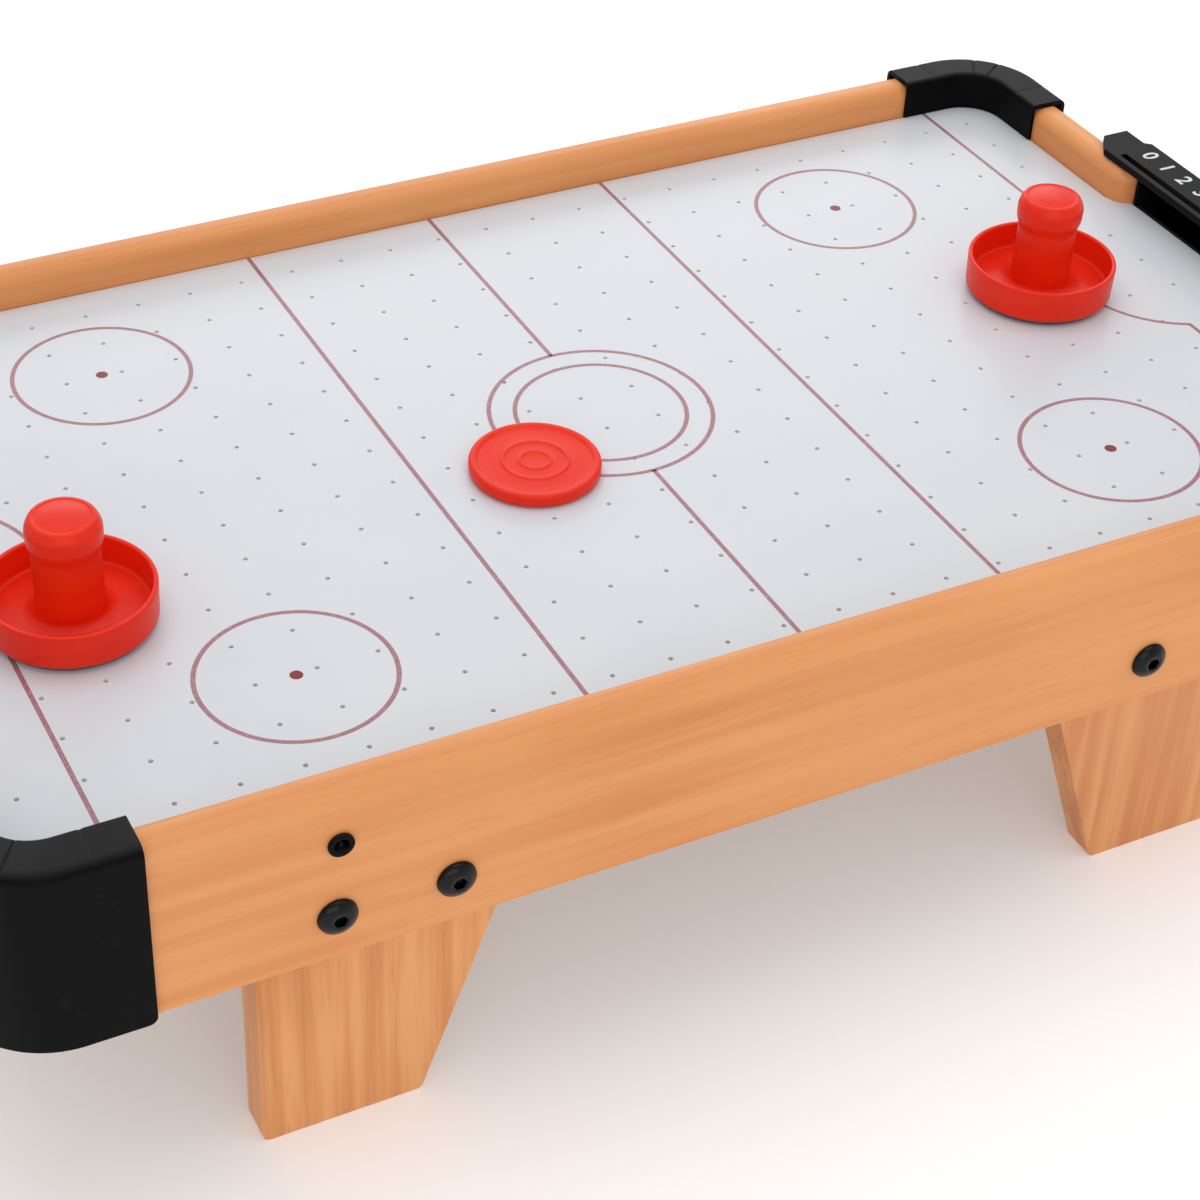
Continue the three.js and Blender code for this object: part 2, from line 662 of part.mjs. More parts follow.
place("fan_housing", fanHousing(), FAN_GREY);
place("fan_motor", fanMotor(), STEEL);
place("fan_impeller", fanImpeller(), CREAM);
place("fan_guard", fanGuard(), FAN_GREY);
fanScrewSpots().forEach(([x, y], i) => {
  place(`fan_screw_${i + 1}`, panScrew(5.2), STEEL, [x, y, FAN_TOP - FAN_FLANGE.thickness - 0.1]);
});
place("power_inlet", powerInlet(), BLACK);
place("fan_lead", fanLead(), BLACK);

PUSHERS.forEach(({ name, x, y }) => {
  const pad = bar("z", FELT.radius, 0, FELT.height, [0, 0], 30);
  place(`${name}_felt`, pad, FELT_GREY, [x, y, PLAY_Z + AIR_GAP]);
  place(name, pusher(), RED, [x, y, PLAY_Z + AIR_GAP + FELT.height]);
});
place("puck", puck(), RED, [PUCK.x, PUCK.y, PLAY_Z + AIR_GAP]);

export default table;
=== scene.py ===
# %% [markdown]
# # A table-top air hockey game
#
# The game is a shallow box on four plank legs. A fan blows air into the box, and the air leaves
# through a grid of fine holes in the playing board, so that a light puck floats. This lesson takes
# the plain working solids of the game, which fix every size and place, and dresses each piece in
# its real surface: foil-wrapped rails, moulded corners and goals, turned plastic and screws.
#
# Lengths are in metres, because that is Blender's unit, and MM turns a maker's millimetres into them.

# %% Load the working model
import math

import bmesh
import bpy
from mathutils import Matrix, Vector


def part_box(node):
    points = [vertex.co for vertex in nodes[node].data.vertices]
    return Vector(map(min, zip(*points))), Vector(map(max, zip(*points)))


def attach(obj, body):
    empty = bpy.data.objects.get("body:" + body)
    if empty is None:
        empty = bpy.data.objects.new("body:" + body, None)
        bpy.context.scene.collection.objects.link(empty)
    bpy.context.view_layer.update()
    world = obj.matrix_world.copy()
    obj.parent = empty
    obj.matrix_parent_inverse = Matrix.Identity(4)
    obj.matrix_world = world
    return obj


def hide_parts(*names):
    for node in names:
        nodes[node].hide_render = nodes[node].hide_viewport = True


MM = 0.001
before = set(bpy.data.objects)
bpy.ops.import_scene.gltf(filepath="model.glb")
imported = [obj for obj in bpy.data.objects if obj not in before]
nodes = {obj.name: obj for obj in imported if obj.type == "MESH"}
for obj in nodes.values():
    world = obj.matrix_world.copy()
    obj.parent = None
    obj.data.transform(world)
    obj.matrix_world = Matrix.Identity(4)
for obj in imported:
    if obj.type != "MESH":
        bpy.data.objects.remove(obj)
scene = bpy.context.scene
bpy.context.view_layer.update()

# %% [markdown]
# ## What every later cell leans on
#
# The playing surface, the rails and the goals repeat a few measures, so those are read once from the
# boxes of the working solids. Nothing here is typed twice: if the working model grows, the looks grow.

# %% Read the driving measures
ENDS = {"right": 1, "left": -1}
SIDES = {"back": 1, "front": -1}
PLAY_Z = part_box("playing_board")[1].z
HALF_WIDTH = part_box("side_rail_back")[0].y
OUTER_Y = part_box("side_rail_back")[1].y
OUTER_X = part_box("end_rail_right_back")[1].x
RAIL_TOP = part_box("side_rail_back")[1].z
RAIL = OUTER_Y - HALF_WIDTH
print("playing surface at", round(PLAY_Z, 4), "rails", round(RAIL, 4), "thick")

# %% [markdown]
# ## Camera, floor and light
#
# The game is seen from above its left front corner, near enough that both ends run out of the
# view. A camera is a place, a point that it looks at, a lens and a little roll about its own axis.
# Building it from those four facts is easier to read and to change than a matrix.
#
# A product like this is lit by large soft lamps, so that the white board stays even, the black
# plastic keeps its shape by pale reflections, and shadows are faint. The background gives most of the
# light, and three wide area lamps give it a direction.

# %% Put things in the scene
def as_object(data, name):
    """An object in the scene that shows a mesh, a text, a lamp or a camera."""
    holder = bpy.data.objects.new(name, data)
    scene.collection.objects.link(holder)
    return holder


def aimed(place, aim):
    """The matrix that puts a thing at a place and turns it to look at another."""
    turn = (aim - place).to_track_quat("-Z", "Y").to_matrix().to_4x4()
    return Matrix.Translation(place) @ turn


# %% Place the camera
CAMERA_PLACE = Vector((-0.3464, -0.6340, 0.6078))
CAMERA_AIM = Vector((-0.0628, -0.0823, 0.129))
CAMERA_ROLL = math.radians(1.965)
camera_data = bpy.data.cameras.new("camera")
camera_data.lens = 78.7
camera_data.sensor_width = 36
camera_data.shift_x = 0.0567
camera_data.clip_start = 0.01
camera = as_object(camera_data, "camera")
camera.matrix_world = aimed(CAMERA_PLACE, CAMERA_AIM) @ Matrix.Rotation(CAMERA_ROLL, 4, "Z")
bpy.context.scene.camera = camera
print("camera looks", [round(c, 3) for c in (CAMERA_AIM - CAMERA_PLACE).normalized()])


# %% Light it softly
def area_lamp(name, place, aim, size, watts):
    lamp = bpy.data.lights.new(name, "AREA")
    lamp.shape = "RECTANGLE"
    lamp.size, lamp.size_y = size
    lamp.energy = watts
    as_object(lamp, name).matrix_world = aimed(Vector(place), Vector(aim))


area_lamp("overhead", (0.1, 0.15, 1.5), (0, 0, 0.1), (1.6, 1.2), 7)
area_lamp("front_fill", (-0.5, -1.5, 0.7), (0, 0, 0.1), (1.4, 0.8), 4)
area_lamp("back_rim", (0.6, 1.5, 0.8), (0, 0, 0.12), (1.4, 0.6), 5)
scene.view_settings.view_transform = "Standard"
world = bpy.data.worlds.new("studio")
scene.world = world
world.use_nodes = True
world.node_tree.nodes["Background"].inputs["Color"].default_value = (0.98, 0.99, 1, 1)
world.node_tree.nodes["Background"].inputs["Strength"].default_value = 0.74

# %% [markdown]
# ## Shader maths that reads like maths
#
# A Blender material is a graph of nodes. Written node by node it hides the idea, so a Field wraps one
# socket, and plus, minus and times between Fields add the Math nodes. Any other node comes from
# make(), which takes its type, its settings and what goes into its sockets.


# %% A wrapper for one socket
class Field:
    """One output socket in a node tree, on which arithmetic builds Math nodes."""

    def __init__(self, tree, socket):
        self.tree = tree
        self.socket = socket

    def make(self, kind, settings, inputs, out=0):
        node = self.tree.nodes.new(kind)
        for name, value in settings.items():
            setattr(node, name, value)
        for key, value in inputs.items():
            if isinstance(value, Field):
                self.tree.links.new(value.socket, node.inputs[key])
            else:
                node.inputs[key].default_value = value
        return Field(self.tree, node.outputs[out])

    def math(self, operation, *others):
        values = dict(enumerate((self, *others)))
        return self.make("ShaderNodeMath", {"operation": operation}, values)

    def __add__(self, other):
        return self.math("ADD", other)

    def __sub__(self, other):
        return self.math("SUBTRACT", other)

    def __rsub__(self, other):
        return self.make("ShaderNodeMath", {"operation": "SUBTRACT"}, {0: other, 1: self})

    def __mul__(self, other):
        return self.math("MULTIPLY", other)

    __radd__ = __add__
    __rmul__ = __mul__

    def over(self, low, high):
        """0 below low, 1 above high and a straight ramp between."""
        return self.make("ShaderNodeMapRange", {}, {"Value": self, "From Min": low, "From Max": high})

    def noise(self, scale, detail=2.0, roughness=0.5):
        values = {"Vector": self, "Scale": scale, "Detail": detail, "Roughness": roughness}
        return self.make("ShaderNodeTexNoise", {}, values)

    def stretched(self, scale, turn=(0, 0, 0)):
        """The coordinates turned about their origin and scaled along each axis."""
        return self.make("ShaderNodeMapping", {}, {"Vector": self, "Scale": scale, "Rotation": turn})

    def mix(self, first, second):
        """The colour first where this mask is 0 and second where it is 1."""
        return self.make("ShaderNodeMix", {"data_type": "RGBA"}, {0: self, 6: first, 7: second}, out=2)

    def bump(self, distance, strength=1.0):
        """A surface normal raised by this height, whose full step is distance in metres."""
        values = {"Height": self, "Distance": distance, "Strength": strength}
        return self.make("ShaderNodeBump", {}, values)


# %% A finish is a function of the place on the piece
def linear(red, green, blue):
    """A screen colour, 0 to 255, as the linear colour that shaders use."""
    return tuple((c / 255) ** 2.2 for c in (red, green, blue)) + (1,)


def finish(name, describe, **uniform):
    """A material whose varying sockets come from describe(place), and the rest from uniform values."""
    material = bpy.data.materials.new(name)
    material.use_nodes = True
    tree = material.node_tree
    shader = tree.nodes["Principled BSDF"]
    coordinates = tree.nodes.new("ShaderNodeTexCoord")
    place = Field(tree, coordinates.outputs["Object"])
    place.normal = Field(tree, coordinates.outputs["Normal"])
    for socket, value in describe(place).items():
        tree.links.new(value.socket, shader.inputs[socket])
    for socket, value in uniform.items():
        shader.inputs[socket.replace("_", " ")].default_value = value
    return material


# %% [markdown]
# ## The wood foil
#
# The rails and legs are fibreboard wrapped in a printed foil that looks like light oak. Its figure is
# long and narrow: soft bands a few millimetres wide that run with the grain, thin darker pores, and
# slow changes of tone. All three are the same noise, stretched along the grain by different amounts.
# The grain follows each plank, so the finish is made once for each direction.


# %% Mix the wood foil
def oak(grain_axis, spread, pale, deep, streak):
    def describe(place):
        along = [spread, spread, spread]
        along[grain_axis] = spread / 27
        grain = place.stretched(along)
        sway = place.noise(9, 2)
        bands = (grain.noise(3.2, 3, 0.55) + sway * 0.5 - 0.25).over(0.36, 0.66)
        fine = grain.noise(26, 4, 0.62)
        pores = fine.over(0.60, 0.74)
        slow = place.noise(7, 1).over(0.35, 0.68)
        body = bands.mix(pale, deep)
        tone = (slow * 0.35).mix(body, linear(232, 164, 106))
        colour = (pores * 0.3).mix(tone, streak)
        return {
            "Base Color": colour,
            "Roughness": 0.40 + pores * 0.18 + place.noise(160, 2) * 0.06,
            "Normal": (0 - pores).bump(0.04 * MM, 0.7),
        }

    return describe


FOIL = (linear(225, 150, 91), linear(211, 131, 72), linear(176, 98, 48))
LEG_FOIL = (linear(226, 158, 100), linear(198, 121, 68), linear(162, 90, 48))
SHEEN = {"Coat_Weight": 0.08, "Coat_Roughness": 0.3, "Specular_IOR_Level": 0.35}
oak_along = finish("oak_foil_along", oak(0, 42, *FOIL), **SHEEN)
oak_across = finish("oak_foil_across", oak(1, 42, *FOIL), **SHEEN)
oak_upright = finish("oak_foil_upright", oak(2, 50, *LEG_FOIL), **SHEEN)
print("oak foils:", oak_along.name, oak_across.name, oak_upright.name)

# %% [markdown]
# ## Boards, plastics, metals and felt
#
# Each of the other finishes has one thing that gives it away. The playing board has a slight
# orange-peel in its white lacquer. Moulded black plastic has a spark-eroded grain, dulls where hands
# rub it and has fine specks of dust, and its faces that look up are painted paler grey, a painted
# reflection of the bright sky. Glossy red plastic shows faint flow marks. Hardboard is a felt of brown
# fibres. Zinc and black oxide are uneven in gloss, and felt is all fibre.


# %% Mix the board finishes
def white_lacquer(place):
    cloud = place.noise(16, 3).over(0.3, 0.7)
    peel = place.noise(900, 2)
    speck = place.noise(420, 1).over(0.74, 0.8)
    lacquer = cloud.mix(linear(205, 208, 213), linear(209, 211, 215))
    return {
        "Base Color": (speck * 0.10).mix(lacquer, linear(190, 190, 192)),
        "Roughness": 0.34 + cloud * 0.08 + speck * 0.2,
        "Normal": peel.bump(0.02 * MM, 0.35),
    }


def hardboard(place):
    fibre = place.stretched((1, 1.7, 1.3)).noise(520, 4, 0.7)
    patch = place.noise(30, 3).over(0.35, 0.7)
    return {
        "Base Color": fibre.over(0.35, 0.65).mix(
            patch.mix(linear(128, 94, 62), linear(146, 112, 78)), linear(172, 140, 104)
        ),
        "Roughness": 0.72 + fibre * 0.2,
        "Normal": fibre.bump(0.12 * MM, 0.8),
    }


def pale_core(place):
    fibre = place.noise(900, 3, 0.6)
    return {
        "Base Color": fibre.over(0.3, 0.7).mix(linear(222, 221, 219), linear(238, 237, 235)),
        "Roughness": 0.7 + fibre * 0.2,
    }


def red_ink(place):
    wear = place.noise(700, 2).over(0.45, 0.75)
    return {
        "Base Color": wear.mix(linear(154, 106, 112), linear(170, 128, 132)),
        "Roughness": 0.34 + wear * 0.12,
    }


def dark_red_ink(place):
    wear = place.noise(700, 2).over(0.45, 0.75)
    return {
        "Base Color": wear.mix(linear(120, 16, 20), linear(138, 30, 32)),
        "Roughness": 0.34 + wear * 0.12,
    }


white_board = finish(
    "white_lacquered_board", white_lacquer, Coat_Weight=0.12, Coat_Roughness=0.2, Specular_IOR_Level=0.4
)
fibreboard = finish("brown_hardboard", hardboard)
board_core = finish("pale_board_core", pale_core)
line_ink = finish("printed_line", red_ink)
dot_ink = finish("printed_dot", dark_red_ink)


# %% Mix the plastics
def black_moulding(place):
    grain = place.noise(1500, 3, 0.6)
    rub = place.noise(22, 3).over(0.42, 0.72)
    dust = place.noise(260, 2).over(0.66, 0.8)
    # Painted reflection: the faces that look up are painted paler grey, as if they mirrored the bright sky,
    # more or less by the rub noise.
    upward = place.normal.make("ShaderNodeSeparateXYZ", {}, {0: place.normal}, out="Z").over(0.55, 0.95)
    body = rub.mix(linear(8, 8, 8), linear(15, 15, 15))
    painted_top_reflection = (upward * (0.6 + rub * 0.4)).mix(body, linear(48, 48, 49))
    return {
        "Base Color": (dust * 0.2).mix(painted_top_reflection, linear(48, 48, 50)),
        "Roughness": 0.42 + rub * 0.10 + grain * 0.08,
        "Normal": grain.bump(0.03 * MM, 0.55),
    }


def red_moulding(place):
    flow = place.stretched((1, 1, 3)).noise(48, 3, 0.6)
    scuff = place.stretched((9, 60, 30), (0.5, 0.2, 0.9)).noise(30, 3).over(0.62, 0.72)
    body = flow.over(0.3, 0.7).mix(linear(226, 38, 14), linear(231, 48, 19))
    return {
        "Base Color": (scuff * 0.06).mix(body, linear(236, 120, 100)),
        "Roughness": 0.34 + flow * 0.10 + scuff * 0.16,
        "Normal": flow.bump(0.05 * MM, 0.25),
    }


def pale_moulding(place):
    flow = place.noise(120, 3)
    return {
        "Base Color": flow.over(0.3, 0.7).mix(linear(226, 225, 218), linear(240, 240, 235)),
        "Roughness": 0.34 + flow * 0.14,
        "Normal": place.noise(1400, 2).bump(0.02 * MM, 0.3),
    }


def fan_moulding(place):
    grain = place.noise(1300, 3, 0.6)
    patch = place.noise(40, 3).over(0.35, 0.7)
    return {
        "Base Color": patch.mix(linear(34, 35, 38), linear(48, 49, 53)),
        "Roughness": 0.46 + grain * 0.14,
        "Normal": grain.bump(0.03 * MM, 0.5),
    }


def number_ink(place):
    wear = place.noise(900, 3).over(0.5, 0.8)
    return {
        "Base Color": wear.mix(linear(214, 214, 210), linear(170, 170, 168)),
        "Roughness": 0.42 + wear * 0.2,
    }


black_plastic = finish("black_moulded_plastic", black_moulding, Specular_IOR_Level=0.08)
red_plastic = finish(
    "red_glossy_plastic", red_moulding, Coat_Weight=0.1, Coat_Roughness=0.15, Specular_IOR_Level=0.18
)
cream_plastic = finish("pale_moulded_plastic", pale_moulding)
fan_plastic = finish("grey_fan_plastic", fan_moulding)
white_ink = finish("printed_number", number_ink)


# %% Mix the metals and the felt
def zinc(place):
    spangle = place.noise(240, 4, 0.65)
    stain = place.noise(60, 2).over(0.4, 0.75)
    return {
        "Base Color": stain.mix(linear(202, 204, 208), linear(168, 170, 176)),
        "Roughness": 0.26 + spangle * 0.22,
        "Normal": spangle.bump(0.02 * MM, 0.5),
    }


def black_oxide(place):
    bloom = place.noise(300, 3)
    rub = place.noise(120, 2).over(0.58, 0.78)
    return {
        "Base Color": rub.mix(linear(7, 7, 8), linear(26, 26, 26)),
        "Roughness": 0.14 + bloom * 0.14,
        "Metallic": rub * 0.4,
        "Normal": bloom.bump(0.02 * MM, 0.4),
    }


def pressed_felt(place):
    fibre = place.stretched((1, 1, 2)).noise(1900, 4, 0.75)
    tuft = place.noise(300, 3)
    return {
        "Base Color": fibre.over(0.3, 0.7).mix(linear(58, 58, 62), linear(98, 98, 103)),
        "Roughness": 0.86 + tuft * 0.12,
        "Normal": (fibre + tuft * 0.7).bump(0.15 * MM, 0.9),
    }


steel = finish("zinc_plated_steel", zinc, Metallic=1.0)
black_steel = finish("black_oxide_steel", black_oxide, Specular_IOR_Level=0.25)
felt = finish("grey_pressed_felt", pressed_felt, Sheen_Weight=0.4, Sheen_Roughness=0.5)
print(len(bpy.data.materials), "finishes so far")


# %% [markdown]
# ## The floor
#
# The game stands on a light table: a pale sheet that glows a little, so that the shadow under the
# game stays soft and pale, as in a catalogue.


# %% Lay the floor
def pale_floor(place):
    cloud = place.noise(3, 2)
    return {
        "Base Color": cloud.over(0.3, 0.7).mix(linear(240, 240, 240), linear(244, 244, 244)),
        "Roughness": 0.55 + cloud * 0.1,
    }


FLOOR_HALF = 30.0
floor_mesh = bpy.data.meshes.new("floor")
corners = [(-FLOOR_HALF, -FLOOR_HALF, 0), (FLOOR_HALF, -FLOOR_HALF, 0)]
corners += [(FLOOR_HALF, FLOOR_HALF, 0), (-FLOOR_HALF, FLOOR_HALF, 0)]
floor_mesh.from_pydata(corners, [], [(0, 1, 2, 3)])
floor = as_object(floor_mesh, "floor")
glow = {"Emission_Color": (1, 1, 1, 1), "Emission_Strength": 0.2}
floor_mesh.materials.append(finish("pale_floor", pale_floor, **glow))
print("floor", 2 * FLOOR_HALF, "m wide")

# %% [markdown]
# ## Tools of the workshop
#
# Most pieces are one of four shapes. A plank is an outline raised to a height, with its upper edges
# rounded over. A turned piece is a profile spun about an axis. A moulded piece that the working model
# already has in full is copied, and its edges are eased with a bevel, as a mould's are. A swept piece
# carries a section along a path. Every piece ends in finished_piece(), which says what it is made of,
# what it rides on and which working solids it stands for. Turning and sweeping come down to one act:
# rings of points are laid in a row and skinned over.

# %% Finish a piece
SMOOTH_ANGLE = math.radians(38)


def as_mesh(shape, name):
    """The mesh of a bmesh, which is used up."""
    mesh = bpy.data.meshes.new(name)
    shape.to_mesh(mesh)
    shape.free()
    return mesh


def finished_piece(name, shape, material, body, replaced, even=False):
    """Turns a bmesh or a mesh into a piece that rides on a body and stands for working solids."""
    mesh = as_mesh(shape, name) if isinstance(shape, bmesh.types.BMesh) else shape
    if not mesh.materials:
        mesh.materials.append(material)
    for polygon in mesh.polygons:
        polygon.use_smooth = True
    mesh.set_sharp_from_angle(angle=SMOOTH_ANGLE)
    piece = as_object(mesh, name)
    if even:
        shading = piece.modifiers.new("even_shading", "WEIGHTED_NORMAL")
        shading.keep_sharp = True
    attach(piece, body)
    if replaced:
        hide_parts(*replaced)
    print(f"{name}: {len(mesh.polygons)} faces on {body}")
    return piece


# %% Copy a working solid and ease its edges
def solid_of(node):
    """A working solid's mesh with its corners joined and its flat faces made whole."""
    shape = bmesh.new()
    shape.from_mesh(nodes[node].data)
    bmesh.ops.remove_doubles(shape, verts=shape.verts, dist=0.002 * MM)
    flat = math.radians(0.5)
    bmesh.ops.dissolve_limit(shape, angle_limit=flat, verts=shape.verts, edges=shape.edges)
    return shape


EDGE_ANGLE = math.radians(25)


def ease(shape, width, segments=3, only=None):
    """Rounds each edge that turns by more than 25 degrees, or those of them that only() accepts."""
    shape.normal_update()
    sharp = [e for e in shape.edges if e.is_manifold and e.calc_face_angle(0) > EDGE_ANGLE]
    chosen = [e for e in sharp if only is None or only(e)]
    bmesh.ops.bevel(
        shape, geom=chosen, offset=width, segments=segments, profile=0.5, affect="EDGES", clamp_overlap=True
    )
    return shape


# %% Bore a shape
def bored(shape, cutter):
    """One closed shape with another cut out of it."""
    parts = [as_object(as_mesh(part, "part"), "part") for part in (shape, cutter)]
    cut = parts[0].modifiers.new("bore", "BOOLEAN")
    cut.operation = "DIFFERENCE"
    cut.object = parts[1]
    whole = bmesh.new()
    whole.from_object(parts[0], bpy.context.evaluated_depsgraph_get())
    for part in parts:
        bpy.data.objects.remove(part)
    return whole


# %% Skin a row of rings
HAIR = 1e-6  # a micrometre: levels closer than this are one level


def skinned(rings, looped=False):
    """A closed shape over rings of points in metres. A ring of one point is a tip, and a looped row
    joins its last ring to its first."""
    shape = bmesh.new()
    count = max(len(ring) for ring in rings)
    rows = [[shape.verts.new(point) for point in ring] for ring in rings]
    rows = [row * count if len(row) == 1 else row for row in rows]
    pairs = list(zip(rows, rows[1:])) + ([(rows[-1], rows[0])] if looped else [])
    for here, there in pairs:
        for i in range(count):
            j = (i + 1) % count
            corners = list(dict.fromkeys([here[i], here[j], there[j], there[i]]))
            if len(corners) > 2:
                shape.faces.new(corners)
    if not looped:
        for row in (rows[0], rows[-1]):
            if len(set(row)) > 2:
                shape.faces.new(row)
    bmesh.ops.recalc_face_normals(shape, faces=shape.faces)
    return shape


# %% Turn a profile, raise an outline
def ring_reach(form, angle):
    """How far a ring of unit size reaches at an angle: a circle, a hexagon or a cross."""
    if form == "hexagon":
        part = (angle % (math.pi / 3)) - math.pi / 6
        return math.cos(math.pi / 6) / math.cos(part)
    if form == "cross":
        return 0.42 + 0.58 * abs(math.cos(2 * angle)) ** 3
    return 1.0


def turned(profile, steps=96):
    """Spins (radius, height, form) points, in millimetres, about Z. The form may be left out, for a
    circle. A profile that doesn't start on the axis closes on itself."""
    rings = []
    for radius, height, *form in profile:
        if radius == 0:
            rings.append([(0, 0, height * MM)])
            continue
        ring = []
        for i in range(steps):
            angle = 2 * math.pi * i / steps
            reach = radius * ring_reach(*(form or ["circle"]), angle) * MM
            ring.append((reach * math.cos(angle), reach * math.sin(angle), height * MM))
        rings.append(ring)
    return skinned(rings, looped=profile[0][0] > 0)


def softened(points, radius, steps=5):
    """Replaces each inner corner of a profile by a small arc of that many steps."""
    soft = [points[0]]
    for before, corner, after in zip(points, points[1:], points[2:]):
        a, b, c = Vector(before), Vector(corner), Vector(after)
        reach = min(radius, 0.45 * (b - a).length, 0.45 * (c - b).length)
        start = b + (a - b).normalized() * reach
        end = b + (c - b).normalized() * reach
        for i in range(steps + 1):
            t = i / steps
            soft.append(tuple((1 - t) ** 2 * start + 2 * t * (1 - t) * b + t * t * end))
    return soft + [points[-1]]


def raised(outline, low, high):
    """A prism on a closed outline of (x, y) points in metres, anticlockwise from above."""
    shape = bmesh.new()
    bottom = [shape.verts.new((x, y, low)) for x, y in outline]
    top = [shape.verts.new((x, y, high)) for x, y in outline]
    shape.faces.new(list(reversed(bottom)))
    shape.faces.new(top)
    for i in range(len(outline)):
        j = (i + 1) % len(outline)
        shape.faces.new([bottom[i], bottom[j], top[j], top[i]])
    return shape


def moved(shape, place=(0, 0, 0), turn=0.0, axis="Z"):
    """Turns a shape about one axis through the origin and then moves it, in metres."""
    matrix = Matrix.Translation(place) @ Matrix.Rotation(turn, 4, axis)
    bmesh.ops.transform(shape, matrix=matrix, verts=shape.verts)
    return shape


def merged(*shapes):
    """One mesh that holds several shapes, each still closed in itself."""
    whole = bmesh.new()
    for shape in shapes:
        part = as_mesh(shape, "part")
        whole.from_mesh(part)
        bpy.data.meshes.remove(part)
    return whole


# %% [markdown]
# ## Geometry Nodes for what repeats
#
# A tree is a small machine: named inputs go in, a mesh comes out. The helper below makes an empty tree
# with its inputs, and run_tree() puts it on an object, sets the inputs by their identifiers, and keeps
# the result as a plain mesh. The tree itself is wired with the same Field wrapper as the shaders.


# %% Build and run a tree
def new_tree(name, inputs):
    """A geometry tree, with a Field for each named input: a (name, socket type) list."""
    tree = bpy.data.node_groups.new(name, "GeometryNodeTree")
    tree.interface.new_socket("Geometry", in_out="INPUT", socket_type="NodeSocketGeometry")
    for label, kind in inputs:
        tree.interface.new_socket(label, in_out="INPUT", socket_type=kind)
    tree.interface.new_socket("Geometry", in_out="OUTPUT", socket_type="NodeSocketGeometry")
    entry = tree.nodes.new("NodeGroupInput")
    return tree, {socket.name: Field(tree, socket) for socket in entry.outputs if socket.name}


def close_tree(tree, result, material, where=True):
    """Ends a tree in Realize Instances and Set Material, on the faces that where selects."""
    real = result.make("GeometryNodeRealizeInstances", {}, {0: result})
    values = {"Geometry": real, "Material": material, "Selection": where}
    dressed = result.make("GeometryNodeSetMaterial", {}, values)
    exit_node = tree.nodes.new("NodeGroupOutput")
    tree.links.new(dressed.socket, exit_node.inputs[0])


def run_tree(tree, shape, values):
    """The plain mesh that a tree makes from a bmesh."""
    carrier = as_object(as_mesh(shape, tree.name), tree.name)
    modifier = carrier.modifiers.new(tree.name, "NODES")
    modifier.node_group = tree
    for item in tree.interface.items_tree:
        if item.in_out == "INPUT" and item.name in values:
            modifier[item.identifier] = values[item.name]
    bpy.context.view_layer.update()
    result = carrier.evaluated_get(bpy.context.evaluated_depsgraph_get())
    plain = bpy.data.meshes.new_from_object(result)
    bpy.data.objects.remove(carrier)
    return plain


# %% [markdown]
# ## The playing board
#
# The board is white lacquered hardboard with a tongue into each goal. The tongue is a little wider than
# the goal and runs on into a groove in the end rails, whose inner corners are rounded off there, so
# that no gap shows beside the goal.
#
# The air holes stand on a square grid, 25 along and 14 across, 19.05 mm apart, each 1.6 mm wide. A
# grid of points, a thin cylinder on each and one boolean cut is the drilling machine itself, so a tree
# does it. Everything is bare, pale fibreboard at first. At the end the faces that look up, and no
# others, are lacquered.

# %% Drill the board
drill, knob = new_tree(
    "air_hole_drill",
    [
        ("Columns", "NodeSocketInt"),
        ("Rows", "NodeSocketInt"),
        ("Pitch", "NodeSocketFloat"),
        ("Hole radius", "NodeSocketFloat"),
        ("Depth", "NodeSocketFloat"),
        ("Height", "NodeSocketFloat"),
        ("Surface", "NodeSocketMaterial"),
        ("Core", "NodeSocketMaterial"),
    ],
)
spots = knob["Columns"].make(
    "GeometryNodeMeshGrid",
    {},
    {
        "Size X": (knob["Columns"] - 1) * knob["Pitch"],
        "Size Y": (knob["Rows"] - 1) * knob["Pitch"],
        "Vertices X": knob["Columns"],
        "Vertices Y": knob["Rows"],
    },
)
lift = spots.make("ShaderNodeCombineXYZ", {}, {"Z": knob["Height"]})
spots = spots.make("GeometryNodeSetPosition", {}, {"Geometry": spots, "Offset": lift})
bit = spots.make(
    "GeometryNodeMeshCylinder", {}, {"Vertices": 12, "Radius": knob["Hole radius"], "Depth": knob["Depth"]}
)
bit = spots.make("GeometryNodeSetMaterial", {}, {"Geometry": bit, "Material": knob["Core"]})
bits = spots.make("GeometryNodeInstanceOnPoints", {}, {"Points": spots, "Instance": bit})
bits = spots.make("GeometryNodeRealizeInstances", {}, {0: bits})
bare = {"Geometry": knob["Geometry"], "Material": knob["Core"]}
board = knob["Geometry"].make("GeometryNodeSetMaterial", {}, bare)
cut = {"operation": "DIFFERENCE", "solver": "EXACT"}
drilled = board.make("GeometryNodeMeshBoolean", cut, {"Mesh 1": board, "Mesh 2": bits})
facing = board.make("GeometryNodeInputNormal", {}, {})
upward = facing.make("ShaderNodeSeparateXYZ", {}, {0: facing}, out="Z")
close_tree(drill, drilled, knob["Surface"], upward.math("GREATER_THAN", 0.3))
print("drill wired with", len(drill.nodes), "nodes")

# %% Run the drill
BOARD = 2.5 * MM
DRILLING = {
    "Columns": 25,
    "Rows": 14,
    "Pitch": 19.05 * MM,
    "Hole radius": 0.8 * MM,
    "Depth": 4 * BOARD,
    "Height": PLAY_Z,
    "Core": board_core,
}
NOSE = Vector((7, 7.5)) * MM  # how far the rounded corner of an end rail reaches, along X and Y


def board_plan():
    """The outline of the board: a rectangle with a tongue at each end."""
    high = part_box("playing_board")[1]
    rail_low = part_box("end_rail_right_back")[0]
    shoulder = rail_low.x - 0.2 * MM
    tongue = rail_low.y + NOSE.y + 0.5 * MM
    quarter = [(high.x, tongue), (shoulder, tongue), (shoulder, high.y)]
    back = quarter + [(-x, y) for x, y in reversed(quarter)]
    return back + [(-x, -y) for x, y in back]


